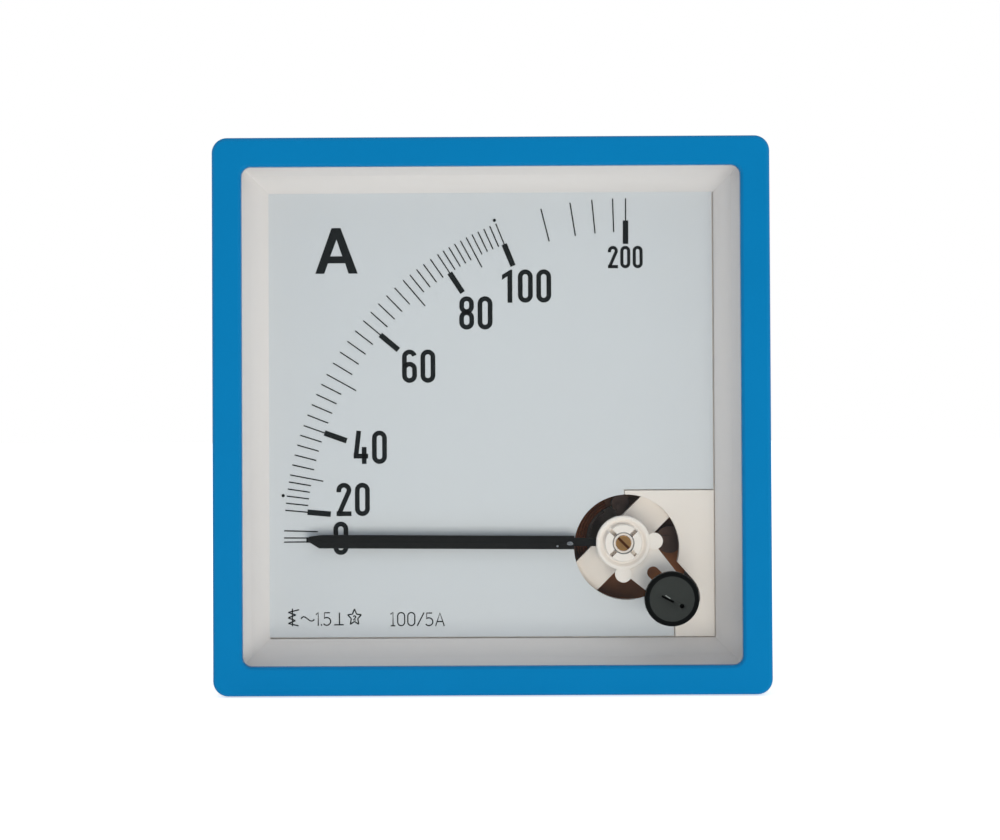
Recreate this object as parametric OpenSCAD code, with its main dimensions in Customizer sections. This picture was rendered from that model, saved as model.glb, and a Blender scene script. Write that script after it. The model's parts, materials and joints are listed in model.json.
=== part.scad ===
// Analog panel meter, 96 mm square: a moving-iron ammeter with a quarter-circle scale.
// X runs to the right, Z runs up and the dial faces -Y.
// The origin is the middle of the panel plane, at the back of the case flange.

/* [Front] */
// Side of the square case flange
flange_size = 96; // [94:0.5:98]
// Thickness of the case flange
flange_thickness = 1.2; // [1:0.1:1.6]
// Side of the coloured bezel
bezel_size = 95.6; // [94:0.2:97.6]
// Side of the opening in the bezel
bezel_opening = 85.6; // [84:0.2:86]
// Distance from the panel plane to the front of the bezel
bezel_height = 7; // [6.8:0.1:8]
// Corner radius of the bezel
bezel_corner = 2.6; // [2:0.1:4]
// Thickness of the window
window_thickness = 2; // [1.5:0.1:2]

/* [Case] */
// Side of the square body that passes through the panel
body_size = 90; // [89:0.5:91]
// Depth of the body behind the panel plane
body_depth = 48; // [46:1:60]
// Wall of the body
wall = 1.5; // [1.2:0.1:1.6]

/* [Dial] */
// Side of the dial area seen in the mask
dial_size = 78; // [77:0.5:79]
// Depth of the dial behind the panel plane
dial_depth = 4.5; // [4.2:0.1:4.6]
// Thickness of the dial plate
dial_thickness = 0.8; // [0.5:0.1:0.8]
// Radius of the round opening in the dial
opening_radius = 9.2; // [9:0.1:9.6]
// Middle of the scale, distance to the right
scale_x = 23.25; // [22.8:0.05:23.5]
// Middle of the scale, height
scale_z = -21.8; // [-22.2:0.05:-21.4]
// Outer radius of the scale marks
scale_radius = 59.7; // [58:0.1:60]
// Width of a heavy scale mark
heavy_width = 0.95; // [0.6:0.05:1.2]
// Width of a fine scale mark
fine_width = 0.2; // [0.15:0.05:0.3]
// Length of a fine scale mark
fine_length = 3.9; // [3.5:0.1:4.5]
// Length of the mark of a value between two named ones
middle_length = 5.9; // [5:0.1:6.5]
// Reach of a heavy mark inwards from the outer ends of the fine ones
heavy_reach = 8; // [7:0.1:8.5]

/* [Movement] */
// Pivot axis, distance to the right of the middle
pivot_x = 22.7; // [22.5:0.1:23.5]
// Pivot axis, height above the middle
pivot_z = -22.2; // [-22.4:0.1:-21.4]
// Angle of the resting pointer above the horizontal
pointer_rest = 0.45; // [0:0.05:1]
// Length of the pointer from the pivot axis to its tip
pointer_length = 54.7; // [50:0.1:57]
// Width of the pointer
pointer_width = 2.4; // [1.6:0.05:2.6]
// Outer radius of the coil bobbin
coil_radius = 13; // [12:0.5:13.5]
// Radius of the bore in the bobbin
coil_bore = 6; // [5.9:0.1:6.2]

/* [Zero adjuster] */
// Adjuster axis, distance to the right of the middle
adjuster_x = 30.7; // [30.2:0.1:30.8]
// Adjuster axis, height above the middle
adjuster_z = -31.5; // [-31.6:0.1:-31]
// Radius of the adjuster head
adjuster_radius = 4.7; // [4:0.1:4.8]
// Offset of the eccentric pin from the adjuster axis
pin_offset = 1.2; // [1:0.05:1.3]
// Radius of the eccentric pin
pin_radius = 0.9; // [0.8:0.05:0.9]

/* [Terminals] */
// Distance between the two terminal studs
stud_spacing = 36; // [30:1:44]
// Height of the studs above the middle
stud_z = 8; // [6:1:10]
// Radius of a stud
stud_radius = 2.5; // [2:0.25:2.5]

/* [Hidden] */
$fn = 64;

// Fits and small gaps
play = 0.05;

// Places on the face, as [x, z]
pivot = [pivot_x, pivot_z];
adjuster = [adjuster_x, adjuster_z];
scale_middle = [scale_x, scale_z];
opening = scale_middle + [0.25, -1.4];
pad_corner = [scale_x - 0.2, scale_z + 8.7];
pad_side = scale_x + 8.45;

// Depths along Y, from front to back
bezel_front = -bezel_height;
window_front = bezel_front + 2;
window_back = window_front + window_thickness;
rim_front = window_back + 0.8;
flange_front = -flange_thickness;
dial_back = dial_depth + dial_thickness;
plate_back = dial_back + 1.3;
lever_top = -0.2;
lever_seat = 0.9;
roof_top = lever_seat + 0.2;
roof_bottom = roof_top + 0.8;
arm_top = 2.3;
arm_thickness = 0.6;
pointer_top = arm_top - 0.2;
pointer_root = 8.4;
pointer_taper = 2.7;
spring_top = 3.7;
bar_back = plate_back + 1.8;
coil_front = 13.5;
coil_back = 28.5;
vane_top = 31;
rear_front = 34;
rear_back = 36;
floor_front = body_depth - 2;
boss_back = body_depth + 3;
balance_top = bar_back + 0.7;
rear_cup = rear_back - 1.4;

// Half sizes of the square parts
body_half = body_size / 2;
cavity_half = body_half - wall;
recess_half = body_half + 0.1;
dial_half = dial_size / 2;
mask_half = bezel_opening / 2 + 0.2;

// Eccentric pin of the adjuster and the direction of the fork that it works in
to_adjuster = (adjuster - pivot) / norm(adjuster - pivot);
across = [-to_adjuster[1], to_adjuster[0]];
pin_phase = 45;
pin = adjuster + pin_offset * (across * sin(pin_phase) - to_adjuster * cos(pin_phase));
fork_angle = atan2(pin[1] - pivot[1], pin[0] - pivot[0]);
fork_reach = norm(pin - pivot);

// Bridge bar, stops of the sweep and pillar places
bar_angle = 45;
bar_width = 6.1;
bar_screws = [-12.2, 10.8];
pillar_angle = -45;
pillar_reach = 17;
post_inner = 3.2;
post_outer = 4.3;
roof_radius = 4.5;

// Bore and shank of the movement
spindle_radius = 0.6;
bush_radius = 1.75;
screw_radius = 1.3;

// Balance weights: angle, distance from the axis, radius and height of each
weights = [[0, 8.6, 2.36, 3.2], [90, 6.45, 1.6, 2.4]];

// Corner posts of the case
post_at = 40.6;
screw_shank = 1.2;

// Dial values at the main marks, in amperes, and the angle of each from zero
main_values = [0, 10, 20, 30, 40, 50, 60, 70, 80, 90, 100, 120, 140, 160, 180, 200];
main_angles = [0.1, 1.65, 5.1, 11.1, 19.7, 29.15, 40.1, 49.65, 56.9, 62.5, 68, 76, 81, 84.7, 88.2, 90.4];
heavy_values = [0, 20, 40, 60, 80, 100, 200];
mark_thickness = 0.08;
dot_offset = 0.65;
dot_radius = 0.28;

// ---- Helpers ----

// Point at a radius and an angle, counter-clockwise from +X as seen from the front
function polar(r, a) = [r * cos(a), r * sin(a)];

// Moves the children to a place on the face
module at(place) translate([place[0], 0, place[1]]) children();

// Turns the children counter-clockwise about the Y axis, as seen from the front
module turn(a) rotate([0, -a, 0]) children();

// Puts the children at each of the terminals, corner posts, pillars or screws of the bridge bar
module at_terminals() for (x = [-1, 1]) at([x * stud_spacing / 2, stud_z]) children();
module at_posts() for (x = [-1, 1], z = [-1, 1]) at([x, z] * post_at) children();
module at_pillars() at(pivot) for (s = [-1, 1]) at(polar(s * pillar_reach, pillar_angle)) children();
module at_bar_screws() at(pivot) for (s = bar_screws) at(polar(s, bar_angle)) children();

// Stands a flat outline, drawn in X and Z, between two depths
module between(front, back)
    translate([0, back, 0]) rotate([90, 0, 0]) linear_extrude(back - front) children();

// Turned part about the Y axis, from [radius, depth] points
module turned(points) rotate([90, 0, 0]) rotate_extrude() polygon([for (p = points) [p[0], -p[1]]]);

// Plain ring about the Y axis
module ring(inner, outer, front, back) turned([[inner, front], [outer, front], [outer, back], [inner, back]]);

// Part of a ring, from one angle to another
module arc_wall(inner, outer, front, back, from, to)
    rotate([90, 0, 0])
        rotate([0, 0, from])
            rotate_extrude(angle = to - from)
                translate([inner, -back]) square([outer - inner, back - front]);

// Square outline with round corners
module soft_square(half, r) {
    square([2 * half, 2 * (half - r)], center = true);
    square([2 * (half - r), 2 * half], center = true);
    for (x = [-1, 1], z = [-1, 1]) translate([x, z] * (half - r)) circle(r);
}

// Square block with round corners and a shaped edge, from [inset, depth] points
module edged_block(half, r, edge) {
    last = len(edge) - 1;
    section = concat(
        [for (p = edge) [half - p[0], p[1]]],
        [for (i = [last:-1:0]) [edge[i][0] - half, edge[i][1]]]);
    corner = concat([[0, edge[0][1]]], [for (p = edge) [r - p[0], p[1]]], [[0, edge[last][1]]]);
    for (a = [0, 90])
        rotate([0, a, 0]) translate([0, 0, r - half]) linear_extrude(2 * (half - r)) polygon(section);
    for (x = [-1, 1], z = [-1, 1]) at([x, z] * (half - r)) turned(corner);
}

// Square funnel with mitred corners, from [half width, depth] points
module funnel(side) {
    last = len(side) - 1;
    section = concat(side, [for (i = [last:-1:0]) [-side[i][0], side[i][1]]]);
    reach = max([for (p = side) p[0]]) + 1;
    intersection_for (a = [0, 90])
        rotate([0, a, 0]) translate([0, 0, -reach]) linear_extrude(2 * reach) polygon(section);
}

// Quarter round of a block edge at the given depth, as [inset, depth] points
function rounded_edge(r, depth, steps) =
    [for (i = [0:steps]) [r * (1 - cos(90 * i / steps)), depth + r * sin(90 * i / steps)]];

// Point of a smooth curve from the first of four points to the last, bent towards the middle two
function bend(p, t) =
    pow(1 - t, 3) * p[0] + 3 * t * pow(1 - t, 2) * p[1] + 3 * t * t * (1 - t) * p[2] + pow(t, 3) * p[3];

// Round wire along such a curve; up is any direction that the wire never takes
module wire(p, r, up) {
    steps = 14;
    sides = 8;
    rings = [for (i = [0:steps])
        let (
            middle = bend(p, i / steps),
            ahead = bend(p, (i + 0.1) / steps) - bend(p, (i - 0.1) / steps),
            side = cross(ahead, up) / norm(cross(ahead, up)),
            over = cross(side, ahead) / norm(ahead)
        )
        for (k = [0:sides - 1]) middle + r * (side * cos(k * 360 / sides) + over * sin(k * 360 / sides))];
    walls = [for (i = [0:steps - 1], k = [0:sides - 1])
        let (a = i * sides + k, b = i * sides + (k + 1) % sides)
        [a, b, b + sides, a + sides]];
    ends = [[for (k = [sides - 1:-1:0]) k], [for (k = [0:sides - 1]) steps * sides + k]];
    polyhedron(rings, concat(walls, ends));
}

// Hexagon nut with bevelled corners
module nut(af, bore, front, back) {
    tip = af / sqrt(3);
    bevel = 0.5;
    intersection() {
        between(front, back) circle(tip, $fn = 6);
        turned([
            [bore, front], [tip - bevel, front], [tip, front + bevel],
            [tip, back - bevel], [tip - bevel, back], [bore, back]
        ]);
    }
}

// ---- Front ----

// Coloured bezel: a square ring that clips over the rim of the case
module bezel() color("#147db9")
    difference() {
        edged_block(bezel_size / 2, bezel_corner,
            concat([[0, flange_front]],
                [for (p = rounded_edge(0.8, 0, 4)) [p[0], bezel_front + 0.8 - p[1]]]));
        edged_block(bezel_opening / 2, 1.6,
            [[0, flange_front + 1], [0, bezel_front + 0.45], [-0.65, bezel_front - 0.2]]);
        between(window_front, flange_front + 1) soft_square(recess_half, 2.4);
        clip_row(0.4, 8.4, 0.8);
    }

// Clips of the rim, or with a greater size the pockets for them
module clip_row(reach, length, height)
    for (a = [0:90:270], along = [-24, 24])
        turn(a) translate([recess_half - 0.3, flange_front - 0.6 - height / 2, along - length / 2])
            cube([reach + 0.3, height, length]);

// Flat window with the hole for the zero adjuster
module window() color("#e8f2f4", 0.25)
    difference() {
        between(window_front, window_back) soft_square(body_half - 0.1, 2.2);
        at(adjuster) ring(0, 2.5 + play, window_front - 1, window_back + 1);
    }

// Zero adjuster: dished slotted head, split barb behind the window and eccentric pin
module zero_adjuster() color("#2b3030") {
    at(adjuster) difference() {
        turned([
            [0, window_front - 0.9], [3.7, window_front - 0.9], [4.0, window_front - 1.4],
            [adjuster_radius - 0.2, window_front - 1.4], [adjuster_radius, window_front - 1.2],
            [adjuster_radius, window_front - 0.1], [2.5, window_front - 0.1], [2.5, window_back + 0.1],
            [2.8, window_back + 0.4], [2.2, window_back + 1.4], [0, window_back + 1.4]
        ]);
        turn(-30) translate([-2.6, window_front - 2, -0.5]) cube([5.2, 2, 1]);
    }
    at(pin) ring(0, pin_radius, window_back + 1.3, lever_seat + 0.4);
}

// ---- Case and dial ----

// Case: open tub with flange, clipped rim, corner posts, clamp rails and terminal bosses
module case() color("#1c1d1f")
    difference() {
        union() {
            difference() {
                union() {
                    edged_block(flange_size / 2, 1.8,
                        [[0.3, 0], [0, -0.3], [0, 0.3 + flange_front], [0.3, flange_front]]);
                    edged_block(body_half, 2.5,
                        concat([[0, rim_front]], rounded_edge(1.5, body_depth - 1.5, 4)));
                }
                between(rim_front - 1, floor_front) soft_square(cavity_half, 1.2);
            }
            clip_row(0.3, 8, 0.6);
            for (x = [-1, 1], z = [-1, 1]) corner_post(x, z);
            for (x = [-1, 1]) clamp_backing(x);
            at_terminals() ring(stud_radius + play, 7.5, floor_front, boss_back);
            barrier();
        }
        at_posts() ring(0, screw_shank + play, plate_back - 1, plate_back + 10);
        for (x = [-1, 1]) clamp_rail(x);
        at_terminals() ring(0, stud_radius + play, floor_front - 1, boss_back + 1);
    }

// Post in a corner of the case that takes a screw of the carrier
module corner_post(x, z) between(plate_back, floor_front + 1) {
    translate([x, z] * post_at) circle(2.8);
    translate([x, z] * (post_at + 1.6)) square(3.2, center = true);
}

// Thicker wall behind a clamp rail
module clamp_backing(x) translate([x * (cavity_half - 0.3) - 1, 10.5, -7]) cube([2, 31, 14]);

// Toothed rail in the side wall, for a push-on panel clamp
module clamp_rail(x)
    for (y = [13:2:39]) translate([x * (body_half + 1) - 2, y, -5]) cube([4, 1.3, 10]);

// Insulating wall between the terminals
module barrier() translate([-1, floor_front + 1, stud_z - 11]) cube([2, boss_back + 3 - floor_front, 22]);

// Pale mask: two sloping bands that lead from the window down to the dial
module mask() color("#d3d3d0")
    difference() {
        union() {
            intersection() {
                funnel([
                    [dial_half + 1.1, dial_back], [dial_half + 1.1, dial_back - 0.5], [mask_half - 0.3, 1.2],
                    [cavity_half - play, -0.4], [cavity_half - play, rim_front]
                ]);
                between(window_back, dial_back + 1) soft_square(cavity_half - play, 1.2);
            }
            between(window_back, rim_front) soft_square(body_half - 0.2, 2.2);
        }
        funnel([
            [dial_half, dial_back + 1], [dial_half, dial_depth], [mask_half - 1.2, 0.5],
            [mask_half, window_back], [mask_half, window_back - 1]
        ]);
    }

// Outline of the pad that stands in the stepped corner of the dial
module pad_outline(inset)
    polygon([
        [pad_corner[0] + inset, pad_corner[1] - inset], [dial_half - inset, pad_corner[1] - inset],
        [dial_half - inset, inset - dial_half], [pad_side + inset, inset - dial_half],
        [pad_side + inset, opening[1]], [pad_corner[0] + inset, opening[1]]
    ]);

// Dial plate: square sheet with a round opening and a stepped corner
module dial_plate() color("#c4cbcf")
    difference() {
        between(dial_depth, dial_back) translate([-dial_half, 0.28 - dial_half]) square(dial_size - 0.28);
        between(dial_depth - 1, dial_back + 1) offset_pad();
        at(opening) ring(0, opening_radius, dial_depth - 1, dial_back + 1);
    }

// Stepped corner as it is cut from the dial, run out past the plate's edges
module offset_pad()
    polygon([
        pad_corner, [dial_half + 1, pad_corner[1]], [dial_half + 1, -dial_half - 1],
        [pad_side, -dial_half - 1], [pad_side, opening[1]], [pad_corner[0], opening[1]]
    ]);

// Angle of the scale at a share of the way from one main mark to the next
function between_values(i, share) = main_angles[i] + (main_angles[i + 1] - main_angles[i]) * share;

// Scale: a heavy bar at each named value, fine marks between them and two reference dots
module scale_marks() color("#232a2a")
    at(scale_middle) {
        for (i = [0:len(main_values) - 1]) {
            heavy = len(search(main_values[i], heavy_values)) > 0;
            inner = scale_radius - (heavy ? fine_length : middle_length);
            for (side = i == 0 ? [-0.35, 0.35] : [0])
                mark(main_angles[i] + side, inner, scale_radius, fine_width);
            if (heavy) mark(main_angles[i], scale_radius - heavy_reach, inner, heavy_width);
        }
        for (i = [2:9], part = [1:4])
            mark(between_values(i, part / 5), scale_radius - fine_length, scale_radius, fine_width);
        for (a = [between_values(2, 2 / 5), main_angles[10]])
            at(polar(scale_radius + dot_offset, 180 - a))
                ring(0, dot_radius, dial_depth - mark_thickness, dial_depth);
    }

// One mark of the scale
module mark(angle, inner, outer, width)
    turn(180 - angle) translate([inner, dial_depth - mark_thickness, -width / 2])
        cube([outer - inner, mark_thickness, width]);

// ---- Carrier and bridge ----

// Carrier: moulded plate behind the dial, with a pad level with its face
module carrier() color("#d6d5d1")
    difference() {
        union() {
            between(dial_back, plate_back) soft_square(cavity_half - 0.3, 1);
            between(dial_depth + 0.05, dial_back + 0.5) pad_outline(0.2);
            for (z = [-6:12:30]) translate([-38, plate_back - 0.5, z - 0.6]) cube([44, 2.5, 1.2]);
        }
        at(opening) ring(0, opening_radius, dial_depth - 1, plate_back + 1);
        at_posts() turned([
            [0, dial_back - 1], [2.25, dial_back - 1], [2.25, dial_back],
            [screw_shank + play, dial_back + 1.05], [screw_shank + play, plate_back + 1],
            [0, plate_back + 1]
        ]);
        at_bar_screws() ring(0, 1 + play, dial_back + 0.3, plate_back + 1);
        at_pillars() ring(0, 1.4 + play, dial_back + 0.2, plate_back + 1);
    }

// Countersunk screws that hold the carrier on the corner posts
module carrier_screws() color("#b9bcc0")
    at_posts() difference() {
        turned([
            [0, dial_back + 0.05], [2.15, dial_back + 0.05], [screw_shank, dial_back + 1],
            [screw_shank, plate_back + 9], [0, plate_back + 9.6]
        ]);
        translate([-2.5, dial_back - 0.5, -0.3]) cube([5, 1, 0.6]);
    }

// Bridge: bar behind the opening, two curved posts, and a roof with a four-fingered collet
module bridge() color("#dad8d3") difference() {
    at(pivot) difference() {
        union() {
            turn(bar_angle) translate([bar_screws[0] - 2.3, plate_back, -bar_width / 2])
                cube([bar_screws[1] - bar_screws[0] + 4.6, bar_back - plate_back, bar_width]);
            arc_wall(post_inner, post_outer, roof_bottom - 0.3, plate_back + 0.3, -68, 48);
            arc_wall(post_inner, post_outer, roof_bottom - 0.3, plate_back + 0.3, 213, 246);
            turned([
                [0, -0.9], [3.1, -0.9], [3.25, -0.7], [3.25, -0.45], [3, -0.3], [3, roof_top],
                [roof_radius, roof_top], [roof_radius, roof_bottom], [0, roof_bottom]
            ]);
        }
        for (a = [45, 135]) turn(a) translate([-4, -2, -0.33]) cube([8, 2 + lever_seat - 0.2, 0.66]);
        ring(0, bush_radius, -2, bar_back + 1);
    }
    at_bar_screws() ring(0, 1 + play, plate_back - 1, bar_back + 1);
}

// Screws that hold the bridge on the back of the carrier
module bridge_screws() color("#b9bcc0")
    at_bar_screws() difference() {
        turned([
            [0, dial_back + 0.5], [1, dial_back + 0.5], [1, bar_back],
            [1.9, bar_back], [1.9, bar_back + 0.7], [1.4, bar_back + 1.1], [0, bar_back + 1.1]
        ]);
        translate([-2, bar_back + 0.6, -0.25]) cube([4, 1, 0.5]);
    }

// ---- Bearings ----

// Sleeve held by the collet, threaded for the front bearing screw
module bearing_bush() color("#cfccc6")
    at(pivot) ring(screw_radius + 0.02, bush_radius - 0.02, -0.75, roof_bottom);

// Slotted bearing screw, from its head at depth 0 to the seat of its jewel
module bearing_screw(r, length) difference() {
    turned([
        [0, 0], [r - 0.15, 0], [r, 0.15], [r, length],
        [0.7, length], [0.7, length - 0.8], [0, length - 0.8]
    ]);
    turn(-45) translate([-r - 1, -1, -0.22]) cube([2 * r + 2, 1.6, 0.44]);
}

// Cup jewel, open towards +Y
module jewel(seat)
    turned([
        [0, seat], [0.68, seat], [0.68, seat + 0.8],
        [0.45, seat + 0.8], [0.08, seat + 0.35], [0, seat + 0.35]
    ]);

// Slotted brass screw in the middle of the collet
module front_bearing_screw() color("#c08a3e")
    at(pivot) translate([0, -1.1, 0]) bearing_screw(screw_radius, 2.9);

// Cup jewel that takes the front tip of the spindle
module front_jewel() color("#b5304a") at(pivot) jewel(1);

// Slotted brass screw in the rear plate
module rear_bearing_screw() color("#c08a3e")
    at(pivot) translate([0, rear_cup + 3.2, 0]) mirror([0, 1, 0]) bearing_screw(screw_radius, 3.2);

// Cup jewel that takes the rear tip of the spindle
module rear_jewel() color("#b5304a") at(pivot) translate([0, rear_cup + 0.8, 0]) mirror([0, 1, 0]) jewel(0);

// ---- Zero setting ----

// Zero lever: dished ring on the collet, two lobes and a fork for the eccentric pin
module zero_lever() color("#dcdad6")
    at(pivot) difference() {
        union() {
            turned([
                [3 + play, 0.2], [3.6, 0.2], [4.1, lever_top], [4.5, lever_top],
                [4.7, lever_top + 0.2], [4.7, lever_seat], [3 + play, lever_seat]
            ]);
            for (a = [3, -90]) turn(a) between(lever_top + 0.1, lever_seat) difference() {
                union() {
                    translate([5.4, 0]) circle(1.45);
                    translate([4.2, -1.2]) square([1.2, 2.4]);
                }
                circle(4);
            }
            turn(fork_angle) between(0.3, lever_seat) difference() {
                polygon([
                    [3, -3.6], [5.4, -3.5], [fork_reach + 1.8, -2.5],
                    [fork_reach + 1.8, 2.5], [5.4, 3.5], [3, 3.6]
                ]);
                circle(4);
            }
        }
        turn(fork_angle) between(-1, 2) {
            translate([7.3, 0]) circle(pin_radius + 0.15);
            translate([7.3, -pin_radius - 0.15]) square([10, 2 * (pin_radius + 0.15)]);
        }
    }

// Pin under the lower lobe that anchors the outer end of the hairspring
module spring_stud() color("#c08a3e")
    at(pivot + polar(5.4, -90)) ring(0, 0.4, lever_seat, spring_top + 0.9);

// Flat spiral spring between the spindle collet and the stud
module hairspring() color("#b98a4a") {
    inner = 1.25;
    pitch = 0.42;
    turns = 4;
    strip = 0.12;
    outer = inner + pitch * turns;
    sweep = [0:15:turns * 360];
    inside = [for (a = sweep) polar(inner + pitch * a / 360, a)];
    outside = [for (a = sweep) polar(inner + strip + pitch * a / 360, a)];
    tail = [[5, 0], [5, -strip], [outer + strip, -strip]];
    at(pivot) between(spring_top, spring_top + 0.6) rotate(-90)
        polygon(concat(inside, tail, [for (i = [len(outside) - 2:-1:0]) outside[i]]));
}

// Brass collet on the spindle that holds the inner end of the hairspring
module spring_collet() color("#c08a3e")
    at(pivot) ring(spindle_radius, 1.2, spring_top - 0.2, spring_top + 0.8);

// ---- Moving system ----

// Steel spindle with a fine conical tip at each end
module spindle() color("#9a9ca0")
    at(pivot) turned([
        [0, 1.45], [0.06, 1.45], [spindle_radius, 2.1], [spindle_radius, rear_cup - 0.3],
        [0.06, rear_cup + 0.35], [0, rear_cup + 0.35]
    ]);

// Stamped arm on the spindle that the pointer is crimped to
module pointer_carrier() color("#8f8d88")
    at(pivot) difference() {
        union() {
            ring(0, 1.4, arm_top, arm_top + arm_thickness + 0.4);
            turn(180 - pointer_rest) translate([0, arm_top, -0.7]) cube([11, arm_thickness, 1.4]);
        }
        ring(0, spindle_radius, arm_top - 1, arm_top + 2);
    }

// Pointer: folded channel with a tapered tip
module pointer() color("#2d302f")
    at(pivot) turn(180 - pointer_rest) difference() {
        between(pointer_top, arm_top + 0.8)
            polygon([
                [pointer_root, -pointer_width / 2], [pointer_length - pointer_taper, -pointer_width / 2],
                [pointer_length, -0.15], [pointer_length, 0.15],
                [pointer_length - pointer_taper, pointer_width / 2], [pointer_root, pointer_width / 2]
            ]);
        translate([pointer_root - 1, arm_top, 0.25 - pointer_width / 2])
            cube([pointer_length - pointer_taper - pointer_root + 0.5, 2, pointer_width - 0.5]);
    }

// Arm behind the bridge that carries the balance weights
module balance_arm() color("#c4a35a")
    at(pivot) difference() {
        union() {
            ring(0, 1.5, balance_top - 0.2, balance_top + 1.2);
            for (w = weights) turn(w[0]) translate([0, balance_top, -0.7]) cube([w[1], 0.5, 1.4]);
        }
        ring(0, spindle_radius, bar_back - 1, bar_back + 3);
    }

// Turned balance weights: a heavy one opposite the pointer and a light one at the side
module balance_weights() color("#b58a3c")
    at(pivot) for (w = weights)
        at(polar(w[1], w[0])) ring(0, w[2], balance_top + 0.5, balance_top + 0.5 + w[3]);

// Soft-iron vane on the spindle, inside the coil
module moving_vane() color("#7d8086")
    at(pivot) difference() {
        union() {
            ring(0, 1, coil_front + 1.5, coil_back - 1.5);
            turn(250) translate([0, coil_front + 2, -0.2]) cube([4.8, coil_back - coil_front - 4, 0.4]);
        }
        ring(0, spindle_radius, coil_front, coil_back);
    }

// Aluminium sector that is braked between the magnets
module damping_vane() color("#c8cbd0")
    at(pivot) {
        ring(spindle_radius, 1.5, vane_top - 0.7, vane_top + 0.8);
        arc_wall(1.45, 12, vane_top, vane_top + 0.3, 205, 335);
    }

// ---- Coil and rear bearing ----

// Soft-iron tongue on the wall of the bobbin bore, narrower towards one end
module fixed_vane() color("#7d8086")
    at(pivot) difference() {
        arc_wall(coil_bore - 0.7, coil_bore, coil_front + 1.5, coil_back - 1.5, 120, 260);
        translate([0, coil_back - 5, 0]) rotate([-31, 0, 0]) translate([-10, 0, -20]) cube([20, 20, 40]);
    }

// Bobbin with two flanges and ears for the pillars
module coil_bobbin() color("#2c221d")
    at(pivot) difference() {
        union() {
            turned([
                [coil_bore, coil_front], [coil_radius, coil_front],
                [coil_radius, coil_front + 1.2], [coil_bore + 1, coil_front + 1.2],
                [coil_bore + 1, coil_back - 1.2], [coil_radius, coil_back - 1.2],
                [coil_radius, coil_back], [coil_bore, coil_back]
            ]);
            for (a = [pillar_angle, pillar_angle + 180]) turn(a) between(coil_front, coil_front + 1.2) {
                translate([pillar_reach, 0]) circle(3.6);
                translate([coil_radius - 2, -3.6]) square([pillar_reach - coil_radius + 2, 7.2]);
            }
        }
        for (s = [-1, 1])
            at(polar(s * pillar_reach, pillar_angle)) ring(0, 2 + play, coil_front - 1, coil_front + 2);
    }

// Enamelled copper winding
module coil_winding() color("#8c4a22")
    at(pivot) ring(coil_bore + 1, coil_radius - 0.6, coil_front + 1.2, coil_back - 1.2);

// Two magnets that face each other across the damping vane
module damping_magnets() color("#4a4b4e")
    at(pivot) for (y = [vane_top - 1.3, vane_top + 0.7])
        turn(225) between(y, y + 0.9) translate([6.5, -2]) square([4.5, 4]);

// Folded steel yoke that closes the magnets' field
module magnet_yoke() color("#8d9196")
    at(pivot) turn(225) difference() {
        between(vane_top - 2.1, rear_front) translate([6, -2.4]) square([9, 4.8]);
        between(vane_top - 1.3, vane_top + 1.6) translate([5, -3]) square([8.8, 6]);
    }

// Stepped pillars from the carrier to the rear plate
module pillars() color("#c4a35a")
    at_pillars() turned([
        [0, dial_back + 0.3], [1.4, dial_back + 0.3], [1.4, plate_back], [2.7, plate_back],
        [2.7, coil_front], [2, coil_front], [2, rear_front], [1.5, rear_front],
        [1.5, rear_back + 2.6], [0, rear_back + 2.6]
    ]);

// Sleeves that hold the bobbin and the rear plate apart
module coil_spacers() color("#bcbfc3") at_pillars() ring(2 + play, 2.8, coil_front + 1.2, rear_front);

// Nuts on the rear ends of the pillars
module pillar_nuts() color("#b9bcc0") at_pillars() nut(5.5, 1.5, rear_back, rear_back + 2.2);

// Rear plate with the boss of the rear bearing and a wing for the magnet yoke
module rear_plate() color("#d6d5d1")
    at(pivot) difference() {
        union() {
            turn(pillar_angle) between(rear_front, rear_back) {
                translate([-pillar_reach, -4.5]) square([2 * pillar_reach, 9]);
                for (s = [-1, 1]) translate([s * pillar_reach, 0]) circle(4.5);
            }
            turn(225) between(rear_front, rear_back) translate([0, -3.2]) square([15, 6.4]);
            ring(0, 3.2, rear_front, rear_back + 1.2);
        }
        ring(0, screw_radius + 0.02, rear_front - 1, rear_back + 2);
        for (s = [-1, 1])
            at(polar(s * pillar_reach, pillar_angle)) ring(0, 1.5 + play, rear_front - 1, rear_back + 1);
    }

// ---- Wiring and terminals ----

// Lead from the coil to the left terminal
module lead_left() color("#8c4a22")
    wire([
        [pivot_x - 12.3, 25, pivot_z + 1.7], [-6, 25, -16], [-8, 44, -2],
        [2.6 - stud_spacing / 2, 45, stud_z - 5.4]
    ], 0.6, [0, 0, 1]);

// Lead from the coil to the right terminal
module lead_right() color("#8c4a22")
    wire([
        [pivot_x - 0.1, 25, pivot_z + 12.35], [24, 25, 4], [20, 44, -4],
        [stud_spacing / 2 + 1, 45, stud_z - 6]
    ], 0.6, [1, 0, 0]);

// Ring lugs that join the leads to the studs
module lead_lugs() color("#c9ccd0")
    for (s = [[-1, -63], [1, -81]]) at([s[0] * stud_spacing / 2, stud_z]) difference() {
        union() {
            ring(0, 4.6, floor_front - 0.8, floor_front);
            turn(s[1]) translate([3, floor_front - 0.8, -1.2]) cube([3, 0.8, 2.4]);
        }
        ring(0, stud_radius + play, floor_front - 2, floor_front + 1);
    }

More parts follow.
